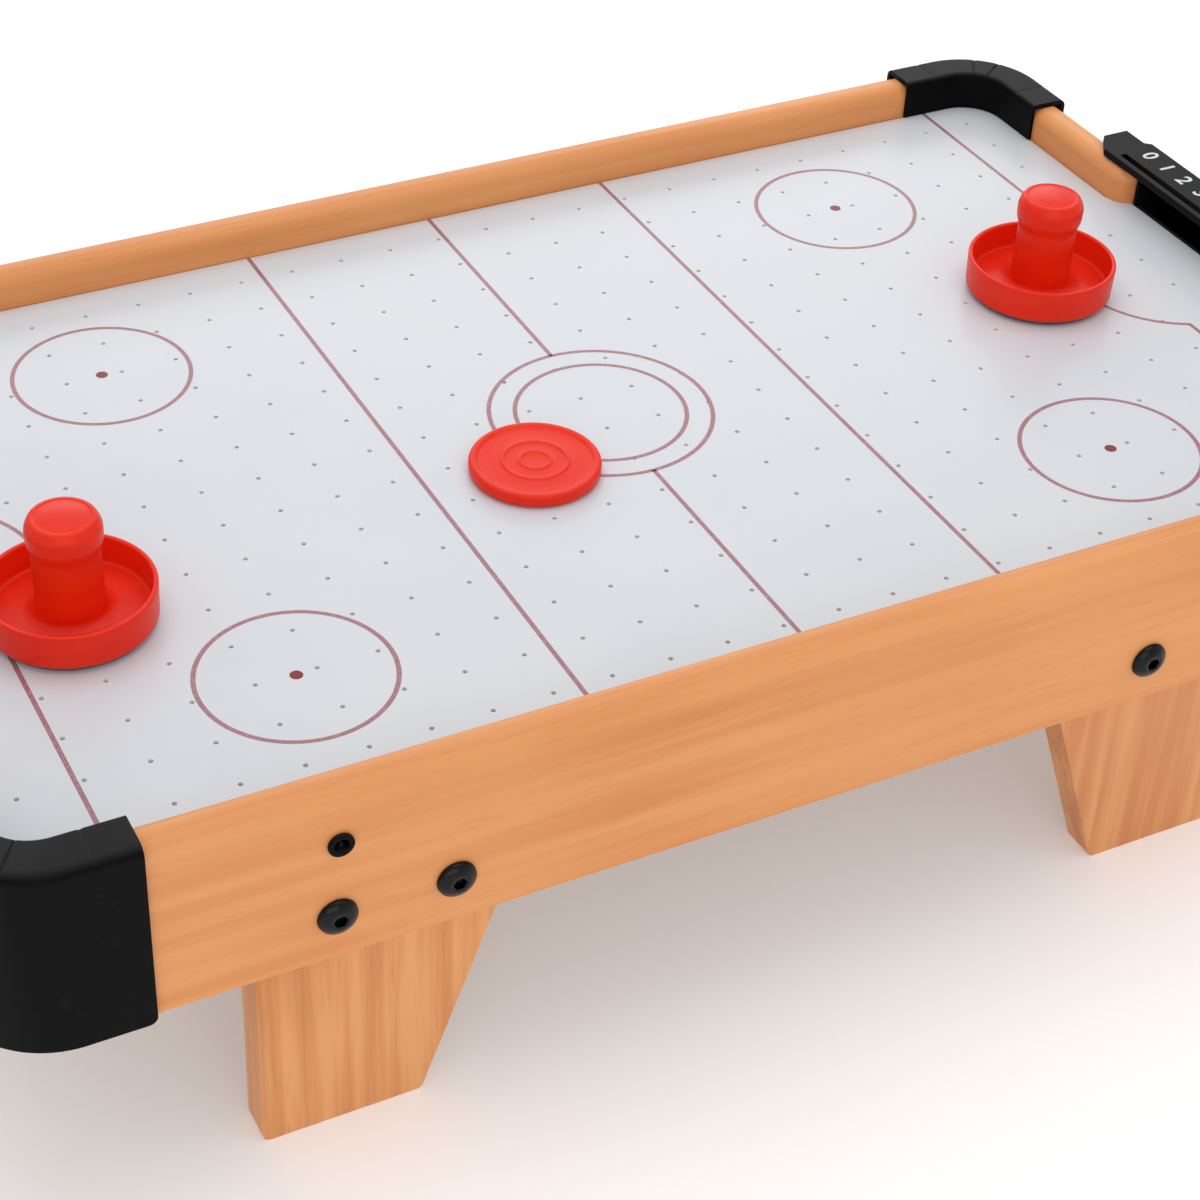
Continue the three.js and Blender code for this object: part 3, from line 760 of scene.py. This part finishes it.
low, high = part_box("playing_board")
blank = ease(raised(board_plan(), low.z, high.z), 0.3 * MM, 2)
drilled_board = run_tree(drill, blank, {**DRILLING, "Surface": white_board})
finished_piece(
    "perforated_board", drilled_board, white_board, "table", ["playing_board"], even=True
)

# %% [markdown]
# ## The printed lines
#
# The lines are silk-screened in dull red: a centre line that stops at the centre circle, two zone
# lines, two goal lines with a rounded crease, four face-off circles and a double centre circle. Ink is
# a very thin layer, so each line is a flat closed ribbon laid on the lacquer. As geometry the lines
# stay sharp however close one looks, where a texture of the whole board would blur them.

# %% Measure out the print
UNIT = 29.5
PRINT_X = 2.65  # how far the whole print sits off the middle of the board
INK = 0.03  # how thick the ink lies
LINE = 1.5
CENTRE_RADII = (37.0, 28.4)
ZONE_X = 70.6
FACE_OFF = (142.7, 86.4)
GOAL_LINE_X = 214.6
CREASE_RADIUS = 37.0
CREASE_CENTRE = GOAL_LINE_X + UNIT / 2
DOT_RADIUS = 2.0
print("crease", CREASE_RADIUS, "mm round, its middle", CREASE_CENTRE, "mm from the centre line")


# %% Lay the ribbons
def ribbon(path, width=LINE, closed=False):
    """A flat closed strip of ink along a path of (x, y) points in millimetres."""
    count = len(path)
    base = PLAY_Z / MM
    rings = []
    for i, point in enumerate(path):
        before = Vector(path[i - 1] if closed or i else path[0])
        after = Vector(path[(i + 1) % count] if closed or i + 1 < count else path[-1])
        along = (after - before).normalized()
        aside = Vector((-along.y, along.x)) * width / 2
        one, other = Vector(point) - aside, Vector(point) + aside
        corners = [(one, base), (other, base), (other, base + INK), (one, base + INK)]
        rings.append([(e.x * MM, e.y * MM, z * MM) for e, z in corners])
    return skinned(rings, looped=closed)


def circle(x, y, radius, start=0, end=360, steps=96):
    angles = [math.radians(start + (end - start) * i / steps) for i in range(steps + 1)]
    points = [(PRINT_X + x + radius * math.cos(a), y + radius * math.sin(a)) for a in angles]
    return points[:-1] if end - start == 360 else points


def straight(x, low, high):
    return ribbon([(PRINT_X + x, low), (PRINT_X + x, high)])


MARGIN = 0.6
EDGE = HALF_WIDTH / MM - MARGIN
lines = [ribbon(circle(0, 0, radius), closed=True) for radius in CENTRE_RADII]
lines += [straight(0, CENTRE_RADII[0], EDGE), straight(0, -EDGE, -CENTRE_RADII[0])]
crease_half = math.acos((CREASE_CENTRE - GOAL_LINE_X) / CREASE_RADIUS)
crease_y = CREASE_RADIUS * math.sin(crease_half)
for end in ENDS.values():
    lines.append(straight(end * ZONE_X, -EDGE, EDGE))
    facing = 180 if end > 0 else 0
    span = math.degrees(crease_half)
    lines.append(ribbon(circle(end * CREASE_CENTRE, 0, CREASE_RADIUS, facing - span, facing + span)))
    for side in SIDES.values():
        low, high = sorted((side * crease_y, side * EDGE))
        lines.append(straight(end * GOAL_LINE_X, low, high))
        lines.append(ribbon(circle(end * FACE_OFF[0], side * FACE_OFF[1], UNIT), closed=True))
finished_piece("board_print", merged(*lines), line_ink, "table", [])


# %% Drop the face-off dots
def dot(x, y):
    disc = turned([(0, 0), (DOT_RADIUS, 0), (DOT_RADIUS, INK), (0, INK)], 32)
    return moved(disc, ((PRINT_X + x) * MM, y * MM, PLAY_Z))


dots = [dot(end * FACE_OFF[0], side * FACE_OFF[1]) for end in ENDS.values() for side in SIDES.values()]
finished_piece("board_dots", merged(*dots), dot_ink, "table", [])

# %% [markdown]
# ## The rails
#
# A rail is a plank of fibreboard in foil, with both upper edges rounded over by 5 mm. Each end is made
# of two short rails, and beside the goal their inner corners are rounded off in a wider curve. A bevel
# suits the straight rails. Round a tight curve it would cross itself, so the end rails are a stack of
# rings up the plank, each drawn in a little further than the last, as a router bit cuts them.

# %% Round over the planks
RAIL_ROUND = 5 * MM
ARRIS = 0.4 * MM


def rail(name, node, outline, material, bore=None):
    low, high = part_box(node)
    shape = raised(outline, low.z, high.z)
    crown = high.z - HAIR
    ease(shape, RAIL_ROUND, 8, lambda e: all(v.co.z > crown for v in e.verts))
    floor_z = low.z + HAIR
    ease(shape, ARRIS, 2, lambda e: all(v.co.z < floor_z for v in e.verts))
    if bore:
        shape = bored(shape, bore)
    return finished_piece(name, shape, material, "table", [node], even=True)


def rectangle(low, high):
    return [(low.x, low.y), (high.x, low.y), (high.x, high.y), (low.x, high.y)]


INLET_BORE = 3.2
BORE_REACH = 20
low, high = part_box("power_inlet")
bore_ends = [(INLET_BORE, -BORE_REACH), (INLET_BORE, BORE_REACH)]
inlet_bore = turned([(0, -BORE_REACH), *bore_ends, (0, BORE_REACH)], 48)
inlet_place = ((low.x + high.x) / 2, -OUTER_Y, (low.z + high.z) / 2)
moved(inlet_bore, inlet_place, math.pi / 2, "X")
for side in SIDES:
    node = f"side_rail_{side}"
    bore = inlet_bore if side == "front" else None
    rail(f"foil_{node}", node, rectangle(*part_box(node)), oak_along, bore)


# %% Nose the end rails
CREST = 0.05 * MM  # the least width that the top keeps where two rounded edges meet


def nosed_ring(size, inset, steps=24):
    """The plan of an end rail drawn in by inset: inner face at x = 0, end beside the goal at y = 0."""
    points = [(inset, size.y)]
    for i in range(steps + 1):
        turn = math.pi / 2 * i / steps
        inward = Vector((math.cos(turn) / NOSE.x, math.sin(turn) / NOSE.y)).normalized() * inset
        x = NOSE.x * (1 - math.cos(turn)) + inward.x
        points.append((min(x, size.x - inset - CREST), NOSE.y * (1 - math.sin(turn)) + inward.y))
    return points + [(size.x - inset, inset), (size.x - inset, size.y)]


def nosed_rail(node, end, side, steps=10):
    low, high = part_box(node)
    levels = [(ARRIS, low.z), (0, low.z + ARRIS)]
    for i in range(steps + 1):
        turn = math.pi / 2 * i / steps
        levels.append((RAIL_ROUND * (1 - math.cos(turn)), high.z - RAIL_ROUND * (1 - math.sin(turn))))
    rings = []
    for inset, z in levels:
        ring = []
        for x, y in nosed_ring(high - low, inset):
            across = low.x + x if end > 0 else high.x - x
            along = low.y + y if side > 0 else high.y - y
            ring.append((across, along, z))
        rings.append(ring)
    name = f"foil_{node}"
    return finished_piece(name, skinned(rings), oak_across, "table", [node], even=True)


for end, end_sign in ENDS.items():
    for side, side_sign in SIDES.items():
        nosed_rail(f"end_rail_{end}_{side}", end_sign, side_sign)

# %% [markdown]
# ## The legs
#
# Each leg is a plank cut to a taper, with its grain upright. The working solid already has its true
# outline and bolt holes, so it is copied. The corners of the foot are rounded and the arrises eased.

# %% Ease the legs
CORNERS = [f"{end}_{side}" for end in ENDS for side in SIDES]
FOOT = 20 * MM


def foot_corner(edge):
    """An edge that crosses the plank's thickness near the floor."""
    a, b = (v.co for v in edge.verts)
    return max(a.z, b.z) < FOOT and abs((b - a).normalized().y) > 0.99


for corner in CORNERS:
    node = f"leg_{corner}"
    shape = ease(solid_of(node), 2 * MM, 5, foot_corner)
    ease(shape, 0.6 * MM, 3)
    finished_piece(f"plank_{node}", shape, oak_upright, "table", [node], even=True)

# %% [markdown]
# ## The corner protectors
#
# A protector is a moulded channel that hooks over the ends of two rails. Its section is the same all
# the way round: an outer skin with a rounded shoulder, a flat top, and a short inner skin that stops
# just above the board. So it is swept: the section is carried along one arm, round the bend and out
# along the other arm. Four faint grooves cross the top, one on each arm and two in the bend, and a
# groove is only a place where the section dips. The lower corners are rounded and the arrises eased.

# %% Sweep the protectors
SKIN = 1.6 * MM
SHOULDER = 3.2 * MM
LIP = 1.9 * MM
GROOVE = 0.25 * MM
GROOVE_ANGLES = (35, 55)
GROOVE_ARM = 7.5 * MM
BEND_RADIUS = 30 * MM
BEND_STEPS = 28
INNER_SKIN = 1.2 * MM
FIT = 0.2 * MM  # between the rail's top and the underside of the protector's
HOVER = 0.3 * MM  # between the inner skin's lip and the board
FOOT_ROUND = 2.6 * MM
MOULD_ARRIS = 0.35 * MM


def quarter(cx, cy, radius, start, end, steps):
    angles = [math.radians(start + (end - start) * i / steps) for i in range(steps + 1)]
    return [(cx + radius * math.cos(a), cy + radius * math.sin(a)) for a in angles]


def protector_section(low, high):
    """(depth behind the outer face, height) points of the channel, anticlockwise."""
    width = SKIN + RAIL + 1.6 * MM
    inner = width - INNER_SKIN
    under = RAIL_TOP + FIT
    lip = PLAY_Z + HOVER
    section = [(0, low)]
    section += quarter(SHOULDER, high - SHOULDER, SHOULDER, 180, 90, 8)
    section += quarter(width - LIP, high - LIP, LIP, 90, 0, 6)
    section += [(width, lip), (inner, lip), (inner, under), (SKIN, under), (SKIN, low)]
    return section[::-1]


def bend_angles(dips):
    """(angle, dip) of each station in the bend, from 90 degrees down to 0."""
    steps = {90 * i / BEND_STEPS: 0 for i in range(BEND_STEPS + 1)}
    for middle in GROOVE_ANGLES:
        for step, dip in dips:
            steps[middle + math.degrees(step / BEND_RADIUS)] = dip
    return sorted(steps.items(), reverse=True)


def protector(corner, sx, sy):
    """A protector in the quadrant with the signs sx and sy."""
    low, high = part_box(f"corner_protector_{corner}")
    outer = Vector((max(abs(low.x), abs(high.x)), max(abs(low.y), abs(high.y))))
    arm = outer - Vector((min(abs(low.x), abs(high.x)), min(abs(low.y), abs(high.y))))
    bend = outer - Vector((BEND_RADIUS, BEND_RADIUS))
    dips = [(-4 * GROOVE, 0), (-GROOVE, GROOVE), (GROOVE, GROOVE), (4 * GROOVE, 0)]
    stations = [(Vector((outer.x - arm.x, outer.y)), 90.0, 0)]
    stations += [(Vector((bend.x - GROOVE_ARM + step, outer.y)), 90.0, dip) for step, dip in dips]
    for angle, dip in bend_angles(dips):
        way = Vector((math.cos(math.radians(angle)), math.sin(math.radians(angle))))
        stations.append((bend + way * BEND_RADIUS, angle, dip))
    stations += [(Vector((outer.x, bend.y - GROOVE_ARM - step)), 0.0, dip) for step, dip in dips]
    stations.append((Vector((outer.x, outer.y - arm.y)), 0.0, 0))
    rings = []
    for point, angle, dip in stations:
        way = Vector((math.cos(math.radians(angle)), math.sin(math.radians(angle))))
        ring = [(point - way * depth, z) for depth, z in protector_section(low.z, high.z - dip)]
        rings.append([(sx * p.x, sy * p.y, z) for p, z in ring])
    shape = skinned(rings)
    shape.verts.ensure_lookup_table()
    ends = {*shape.verts[: len(rings[0])], *shape.verts[-len(rings[0]) :]}
    foot = low.z + HAIR
    ease(shape, FOOT_ROUND, 6, lambda e: set(e.verts) <= ends and all(v.co.z < foot for v in e.verts))
    return ease(shape, MOULD_ARRIS, 2)


for corner in CORNERS:
    end, side = corner.split("_")
    shape = protector(corner, ENDS[end], SIDES[side])
    name = f"moulded_protector_{corner}"
    finished_piece(
        name, shape, black_plastic, "table", [f"corner_protector_{corner}"], even=True
    )

# %% [markdown]
# ## The goals and their score plates
#
# Goal, pocket and score plate are one moulding. Its working solid is complete, so the copy only needs
# moulded edges. The numbers 0 to 10 are printed in white beside the slider's slot.

# %% Ease the goals
for end in ENDS:
    node = f"goal_score_unit_{end}"
    shape = ease(solid_of(node), 0.45 * MM, 3)
    finished_piece(f"moulded_{node}", shape, black_plastic, "table", [node], even=True)


# %% Print the numbers
NUMBER_HEIGHT = 6.2 * MM
CAPITAL = 0.69  # the share of the type size that a figure stands high
NUMBER_X = OUTER_X + 2.7 * MM
NUMBER_STEP = 10.3 * MM
NUMBER_FIRST_Y = 50 * MM
FACE_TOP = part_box("goal_score_unit_right")[1].z


def number_mesh(text):
    """A number as a thin slab, its middle at the origin and its foot along X."""
    words = bpy.data.curves.new(f"number_{text}", "FONT")
    words.body = text
    words.size = NUMBER_HEIGHT / CAPITAL
    words.align_x = "CENTER"
    words.align_y = "CENTER"
    words.space_character = 0.92
    words.offset = 0.18 * MM
    words.extrude = 0.5 * INK * MM
    words.resolution_u = 4
    carrier = as_object(words, f"number_{text}")
    bpy.context.view_layer.update()
    mesh = bpy.data.meshes.new_from_object(carrier.evaluated_get(bpy.context.evaluated_depsgraph_get()))
    shape = bmesh.new()
    shape.from_mesh(mesh)
    bmesh.ops.remove_doubles(shape, verts=shape.verts, dist=0.001 * MM)
    bpy.data.objects.remove(carrier)
    return shape


for end, sign in ENDS.items():
    row = []
    for count in range(11):
        y = sign * (NUMBER_FIRST_Y - count * NUMBER_STEP)
        place = (sign * NUMBER_X, y, FACE_TOP + 0.5 * INK * MM)
        row.append(moved(number_mesh(str(count)), place, -sign * math.pi / 2))
    finished_piece(f"score_numbers_{end}", merged(*row), white_ink, "table", [])

# %% [markdown]
# ## The score sliders
#
# A slider is a small red thumb piece on a neck that runs in the slot. Ribs across its top give the
# thumb something to push.

# %% Rib the sliders
RIBS = 5
RIB_PITCH = 1.5 * MM
RIB_RADIUS = 0.35 * MM
RIB_SHARE = 0.62  # of the thumb piece's width


def bar_along_x(centre, length, radius):
    """A half-round bar, its length along X."""
    half, reach = length / 2 / MM, radius / MM
    rod = turned([(0, -half), (reach, -half), (reach, half), (0, half)], 16)
    return moved(moved(rod, turn=math.pi / 2, axis="Y"), centre)


for end in ENDS:
    node = f"score_slider_{end}"
    low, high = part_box(node)
    middle = (low + high) / 2
    ribs = []
    for i in range(RIBS):
        y = middle.y + (i - (RIBS - 1) / 2) * RIB_PITCH
        ribs.append(bar_along_x((middle.x, y, high.z), RIB_SHARE * (high.x - low.x), RIB_RADIUS))
    shape = merged(ease(solid_of(node), 0.3 * MM, 3), *ribs)
    body = f"{end}_score_slider"
    finished_piece(f"ribbed_{node}", shape, red_plastic, body, [node], even=True)

# %% [markdown]
# ## Bolts, nuts and screws
#
# Every fastener is turned from a profile. A ring of the profile may be a hexagon or a cross instead of
# a circle, which gives the nut its flats, the bolt its key socket and the screw its recess with the
# same number of corners all the way up. One small tree then sets a fastener on each of a list of
# points, with its head facing the way that the point's "aim" says.


# %% Turn a fastener
def button_bolt():
    """A button-head bolt with a hexagon socket: the head's underside is at Z = 0, its dome up."""
    head, dome, shank, length = 6.1, 3.0, 2.4, 30
    profile = [(0, -length), (shank - 0.5, -length), (shank, 0.5 - length)]
    profile += [(shank, -0.1), (head - 0.3, 0), (head, 0.3)]
    for i in range(1, 9):
        angle = math.radians(12 + 50 * i / 8)
        lift = 0.3 + (dome - 0.3) * math.sin(angle) / math.sin(math.radians(62))
        profile.append((head * math.cos(angle) + 0.1, lift))
    profile += [(2.5, dome), (2.2, dome - 0.15, "hexagon"), (2.1, dome - 1.7, "hexagon")]
    profile += [(0, dome - 1.9)]
    return turned(profile, 48)


def hexagon_nut():
    size, height, bore = 4.6, 4, 2.5
    outside = [(size - 0.4, 0), (size, 0.3), (size, height - 0.3), (size - 0.4, height)]
    inside = [(bore + 0.4, height), (bore, height - 0.4), (bore, 0.4), (bore + 0.4, 0)]
    return turned([(r, z, "hexagon") for r, z in outside] + inside, 48)


def pan_screw(length):
    """A pan-head screw with a cross recess: the head's underside is at Z = 0."""
    head, height, shank = 2.9, 2.0, 1.5
    profile = [(0, -length), (shank, 2 - length), (shank, 0)]
    profile += [(head, 0), (head, 0.7), (head - 0.3, 1.3)]
    profile += [(head - 0.9, 1.8), (head - 1.4, height), (1.4, height - 0.05, "cross")]
    profile += [(1.1, height - 1.0, "cross"), (0, height - 1.3)]
    return turned(profile, 32)


# %% Set fasteners on their points
setter, knob = new_tree(
    "fastener_setter", [("Fastener", "NodeSocketObject"), ("Finish", "NodeSocketMaterial")]
)
one = knob["Fastener"].make("GeometryNodeObjectInfo", {}, {"Object": knob["Fastener"]}, out="Geometry")
aim = one.make("GeometryNodeInputNamedAttribute", {"data_type": "FLOAT_VECTOR"}, {"Name": "aim"})
facing = one.make("FunctionNodeAlignRotationToVector", {"axis": "Z"}, {"Vector": aim})
row = one.make(
    "GeometryNodeInstanceOnPoints", {}, {"Points": knob["Geometry"], "Instance": one, "Rotation": facing}
)
close_tree(setter, row, knob["Finish"])


def set_fasteners(name, one_shape, places, material, replaced):
    """Sets one_shape at each (point, aim) place and makes them one piece on the table."""
    sample = as_object(as_mesh(one_shape, name), f"{name}_sample")
    points = bmesh.new()
    layer = points.verts.layers.float_vector.new("aim")
    for point, heading in places:
        points.verts.new(point)[layer] = heading
    whole = run_tree(setter, points, {"Fastener": sample, "Finish": material})
    bpy.data.objects.remove(sample)
    return finished_piece(name, whole, material, "table", replaced)


def middle_of(node):
    low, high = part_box(node)
    return (low + high) / 2


BOLT_SEAT = OUTER_Y + 0.1 * MM
NUT_SEAT = HALF_WIDTH - RAIL - 0.6 * MM
GOAL_SEAT = OUTER_X + 2.7 * MM
FAN_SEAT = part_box("fan_housing")[1].z - 2.5 * MM
bolt_nodes = [f"leg_bolt_{corner}_{which}" for corner in CORNERS for which in ("inner", "outer")]
bolt_places = []
nut_places = []
for node in bolt_nodes:
    spot = middle_of(node)
    outward = math.copysign(1, spot.y)
    bolt_places.append(((spot.x, outward * BOLT_SEAT, spot.z), (0, outward, 0)))
    nut_places.append(((spot.x, outward * NUT_SEAT, spot.z), (0, -outward, 0)))
nut_nodes = [node.replace("bolt", "nut") for node in bolt_nodes]
set_fasteners("leg_bolts", button_bolt(), bolt_places, black_steel, bolt_nodes)
set_fasteners("leg_nuts", hexagon_nut(), nut_places, steel, nut_nodes)

goal_nodes = [f"goal_screw_{corner}" for corner in CORNERS]
goal_places = []
for node in goal_nodes:
    spot = middle_of(node)
    outward = math.copysign(1, spot.x)
    goal_places.append(((outward * GOAL_SEAT, spot.y, spot.z), (outward, 0, 0)))
set_fasteners("goal_screws", pan_screw(10), goal_places, black_steel, goal_nodes)

fan_nodes = [f"fan_screw_{number}" for number in (1, 2, 3, 4)]
fan_places = [((middle_of(n).x, middle_of(n).y, FAN_SEAT), (0, 0, -1)) for n in fan_nodes]
set_fasteners("fan_screws", pan_screw(5.2), fan_places, steel, fan_nodes)

# %% [markdown]
# ## The fan
#
# The fan hangs under the base board. Its impeller has seven twisted blades: each is a lens-shaped
# section carried outwards from the hub while its pitch drops from 46 to 30 degrees, so that hub and
# tip push the air equally. One blade is made, and a tree spins it round the axle.

# %% Twist one blade
HUB_LOW, HUB_HIGH = (corner.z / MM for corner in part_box("fan_impeller"))
BLADES = 7


def blade(root=9.0, tip=34.0, width=8.0, thickness=1.3, sections=10, corners=16):
    middle = (HUB_LOW + HUB_HIGH) / 2
    rings = []
    for s in range(sections + 1):
        t = s / sections
        reach = root + (tip - root) * t
        pitch = math.radians(46 - 16 * t)
        taper = 1 - 0.55 * max(0, (t - 0.8) / 0.2) ** 2
        ring = []
        for i in range(corners):
            angle = 2 * math.pi * i / corners
            across = width / 2 * taper * math.cos(angle)
            through = thickness / 2 * math.sin(angle) + 0.9 * math.cos(2 * angle) * taper * 0.3
            y = across * math.cos(pitch) - through * math.sin(pitch)
            z = across * math.sin(pitch) + through * math.cos(pitch)
            ring.append((reach * MM, y * MM, (middle + z) * MM))
        rings.append(ring)
    return skinned(rings)


# %% Spin the blades round the hub
spinner, knob = new_tree("blade_spinner", [("Count", "NodeSocketInt"), ("Finish", "NodeSocketMaterial")])
marks = knob["Count"].make("GeometryNodeMeshLine", {}, {"Count": knob["Count"], "Offset": (0, 0, 0)})
index = marks.make("GeometryNodeInputIndex", {}, {})
turn_step = index.make("ShaderNodeMath", {"operation": "DIVIDE"}, {0: 2 * math.pi, 1: knob["Count"]})
angle = marks.make("ShaderNodeCombineXYZ", {}, {"Z": index * turn_step})
spin = marks.make(
    "GeometryNodeInstanceOnPoints", {}, {"Points": marks, "Instance": knob["Geometry"], "Rotation": angle}
)
close_tree(spinner, spin, knob["Finish"])

blades = run_tree(spinner, blade(), {"Count": BLADES, "Finish": cream_plastic})
hub_profile = [(0, HUB_LOW), (11.5, HUB_LOW), (11.5, HUB_HIGH), (1.05, HUB_HIGH), (1.05, 89.9), (0, 89.9)]
rotor = turned(softened(hub_profile, 1.6), 64)
rotor.from_mesh(blades)
finished_piece("fan_rotor_moulding", rotor, cream_plastic, "fan_rotor", ["fan_impeller"])

# %% Ease the housing and the guard, turn the motor
for node in ("fan_housing", "fan_guard"):
    shape = ease(solid_of(node), 0.3 * MM, 2)
    finished_piece(f"moulded_{node}", shape, fan_plastic, "table", [node], even=True)
motor_low, motor_high = (corner.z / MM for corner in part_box("fan_motor"))
can_low = motor_low + 8.5
motor_profile = [(0, motor_low), (1, motor_low), (1, can_low - 1), (3.5, can_low - 1), (3.5, can_low)]
motor_profile += [(12.8, can_low), (12.8, motor_high), (4, motor_high), (3.6, motor_high - 0.4)]
motor_profile += [(0, motor_high - 0.4)]
motor = turned(softened(motor_profile, 1.0), 64)
finished_piece("fan_motor_can", motor, steel, "table", ["fan_motor"])

# %% [markdown]
# ## The power inlet
#
# The fan's power comes in through a small round socket in the front rail: a collar against the foil, a
# deep bore and a contact pin in the middle of it.

# %% Turn the inlet
INLET = [(0, -16), (2.9, -16), (2.9, 0.15), (3.9, 0.15), (3.9, 1.2), (2.2, 1.2), (2.2, -8.8)]
INLET += [(0.8, -8.8), (0.8, 0.6), (0, 0.6)]
inlet = moved(turned(softened(INLET, 0.3, 3), 48), inlet_place, math.pi / 2, "X")
finished_piece("inlet_socket", inlet, black_plastic, "table", ["power_inlet"])

# %% [markdown]
# ## Pushers and puck
#
# A pusher is a thin tray with a hollow knob, turned from one profile. Its corners are filleted the way
# a mould's are, which is what catches the light along the rim. A felt pad under it slides on the board.
# The puck is a thin disc with a rim and two raised rings.

# %% Turn the pushers
KNOB = [(0, 35), (7.6, 35), (9.3, 31), (8.4, 24), (8.4, 0.2)]
TRAY_OUT = [(24.5, 0.2), (25.6, 1.1), (25.9, 12.3), (24.3, 12.3), (24.1, 2.9)]
GRIP = [(13.4, 2.9), (10.7, 4.6), (10.3, 9), (10.2, 25.5), (11.3, 28.4), (11.4, 33.4), (9.9, 36.3)]
GRIP += [(8.7, 36.45), (8.3, 36.2), (4, 36.8), (0, 37)]
PUSHER = softened(KNOB + TRAY_OUT + GRIP, 1.5, 6)
for end in ENDS:
    spot = middle_of(f"pusher_{end}")
    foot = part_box(f"pusher_{end}")[0].z - 0.2 * MM
    shape = moved(turned(PUSHER, 128), (spot.x, spot.y, foot))
    body = f"{end}_pusher"
    finished_piece(f"turned_pusher_{end}", shape, red_plastic, body, [f"pusher_{end}"])
    low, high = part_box(f"pusher_{end}_felt")
    thick = (high.z - low.z) / MM
    pad_profile = softened([(0, 0), (24, 0), (24, thick), (0, thick)], 0.35, 4)
    pad = moved(turned(pad_profile, 96), (spot.x, spot.y, low.z))
    finished_piece(f"felt_pad_{end}", pad, felt, body, [f"pusher_{end}_felt"])

# %% Turn the puck
low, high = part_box("puck")
puck_radius = (high.x - low.x) / 2 / MM
thick = (high.z - low.z) / MM
face = thick - 0.7
puck_profile = [(0, 0), (puck_radius - 1, 0), (puck_radius, 0.9), (puck_radius, face)]
puck_profile += [(puck_radius - 0.7, thick), (puck_radius - 2.1, thick), (puck_radius - 3, face)]
for ring in (10.5, 4.9):
    puck_profile += [(ring + 0.9, face), (ring + 0.3, face + 0.45)]
    puck_profile += [(ring - 0.3, face + 0.45), (ring - 0.9, face)]
puck_profile += [(0, face)]
spot = middle_of("puck")
puck = moved(turned(softened(puck_profile, 0.5, 4), 128), (spot.x, spot.y, low.z))
finished_piece("turned_puck", puck, red_plastic, "puck", ["puck"])

# %% [markdown]
# ## What keeps its working shape
#
# The base board and the battens of the air chamber are sawn boards with square arrises, so their
# working solids are already their true shape and only need the hardboard finish. The fan's lead lies
# inside the chamber and gets a plain black sheath.


# %% Dress the sawn boards and the lead
def black_sheath(place):
    sheen = place.noise(600, 2)
    return {
        "Base Color": sheen.over(0.3, 0.7).mix(linear(20, 20, 22), linear(32, 32, 34)),
        "Roughness": 0.38 + sheen * 0.16,
        "Normal": sheen.bump(0.02 * MM, 0.3),
    }


def dress(node, material):
    for slot in nodes[node].material_slots:
        slot.material = material


sawn = ["base_board"] + [f"chamber_batten_{where}" for where in (*ENDS, *SIDES)]
for node in sawn:
    dress(node, fibreboard)
dress("fan_lead", finish("black_sheath", black_sheath))
print("dressed", len(sawn) + 1, "working solids")
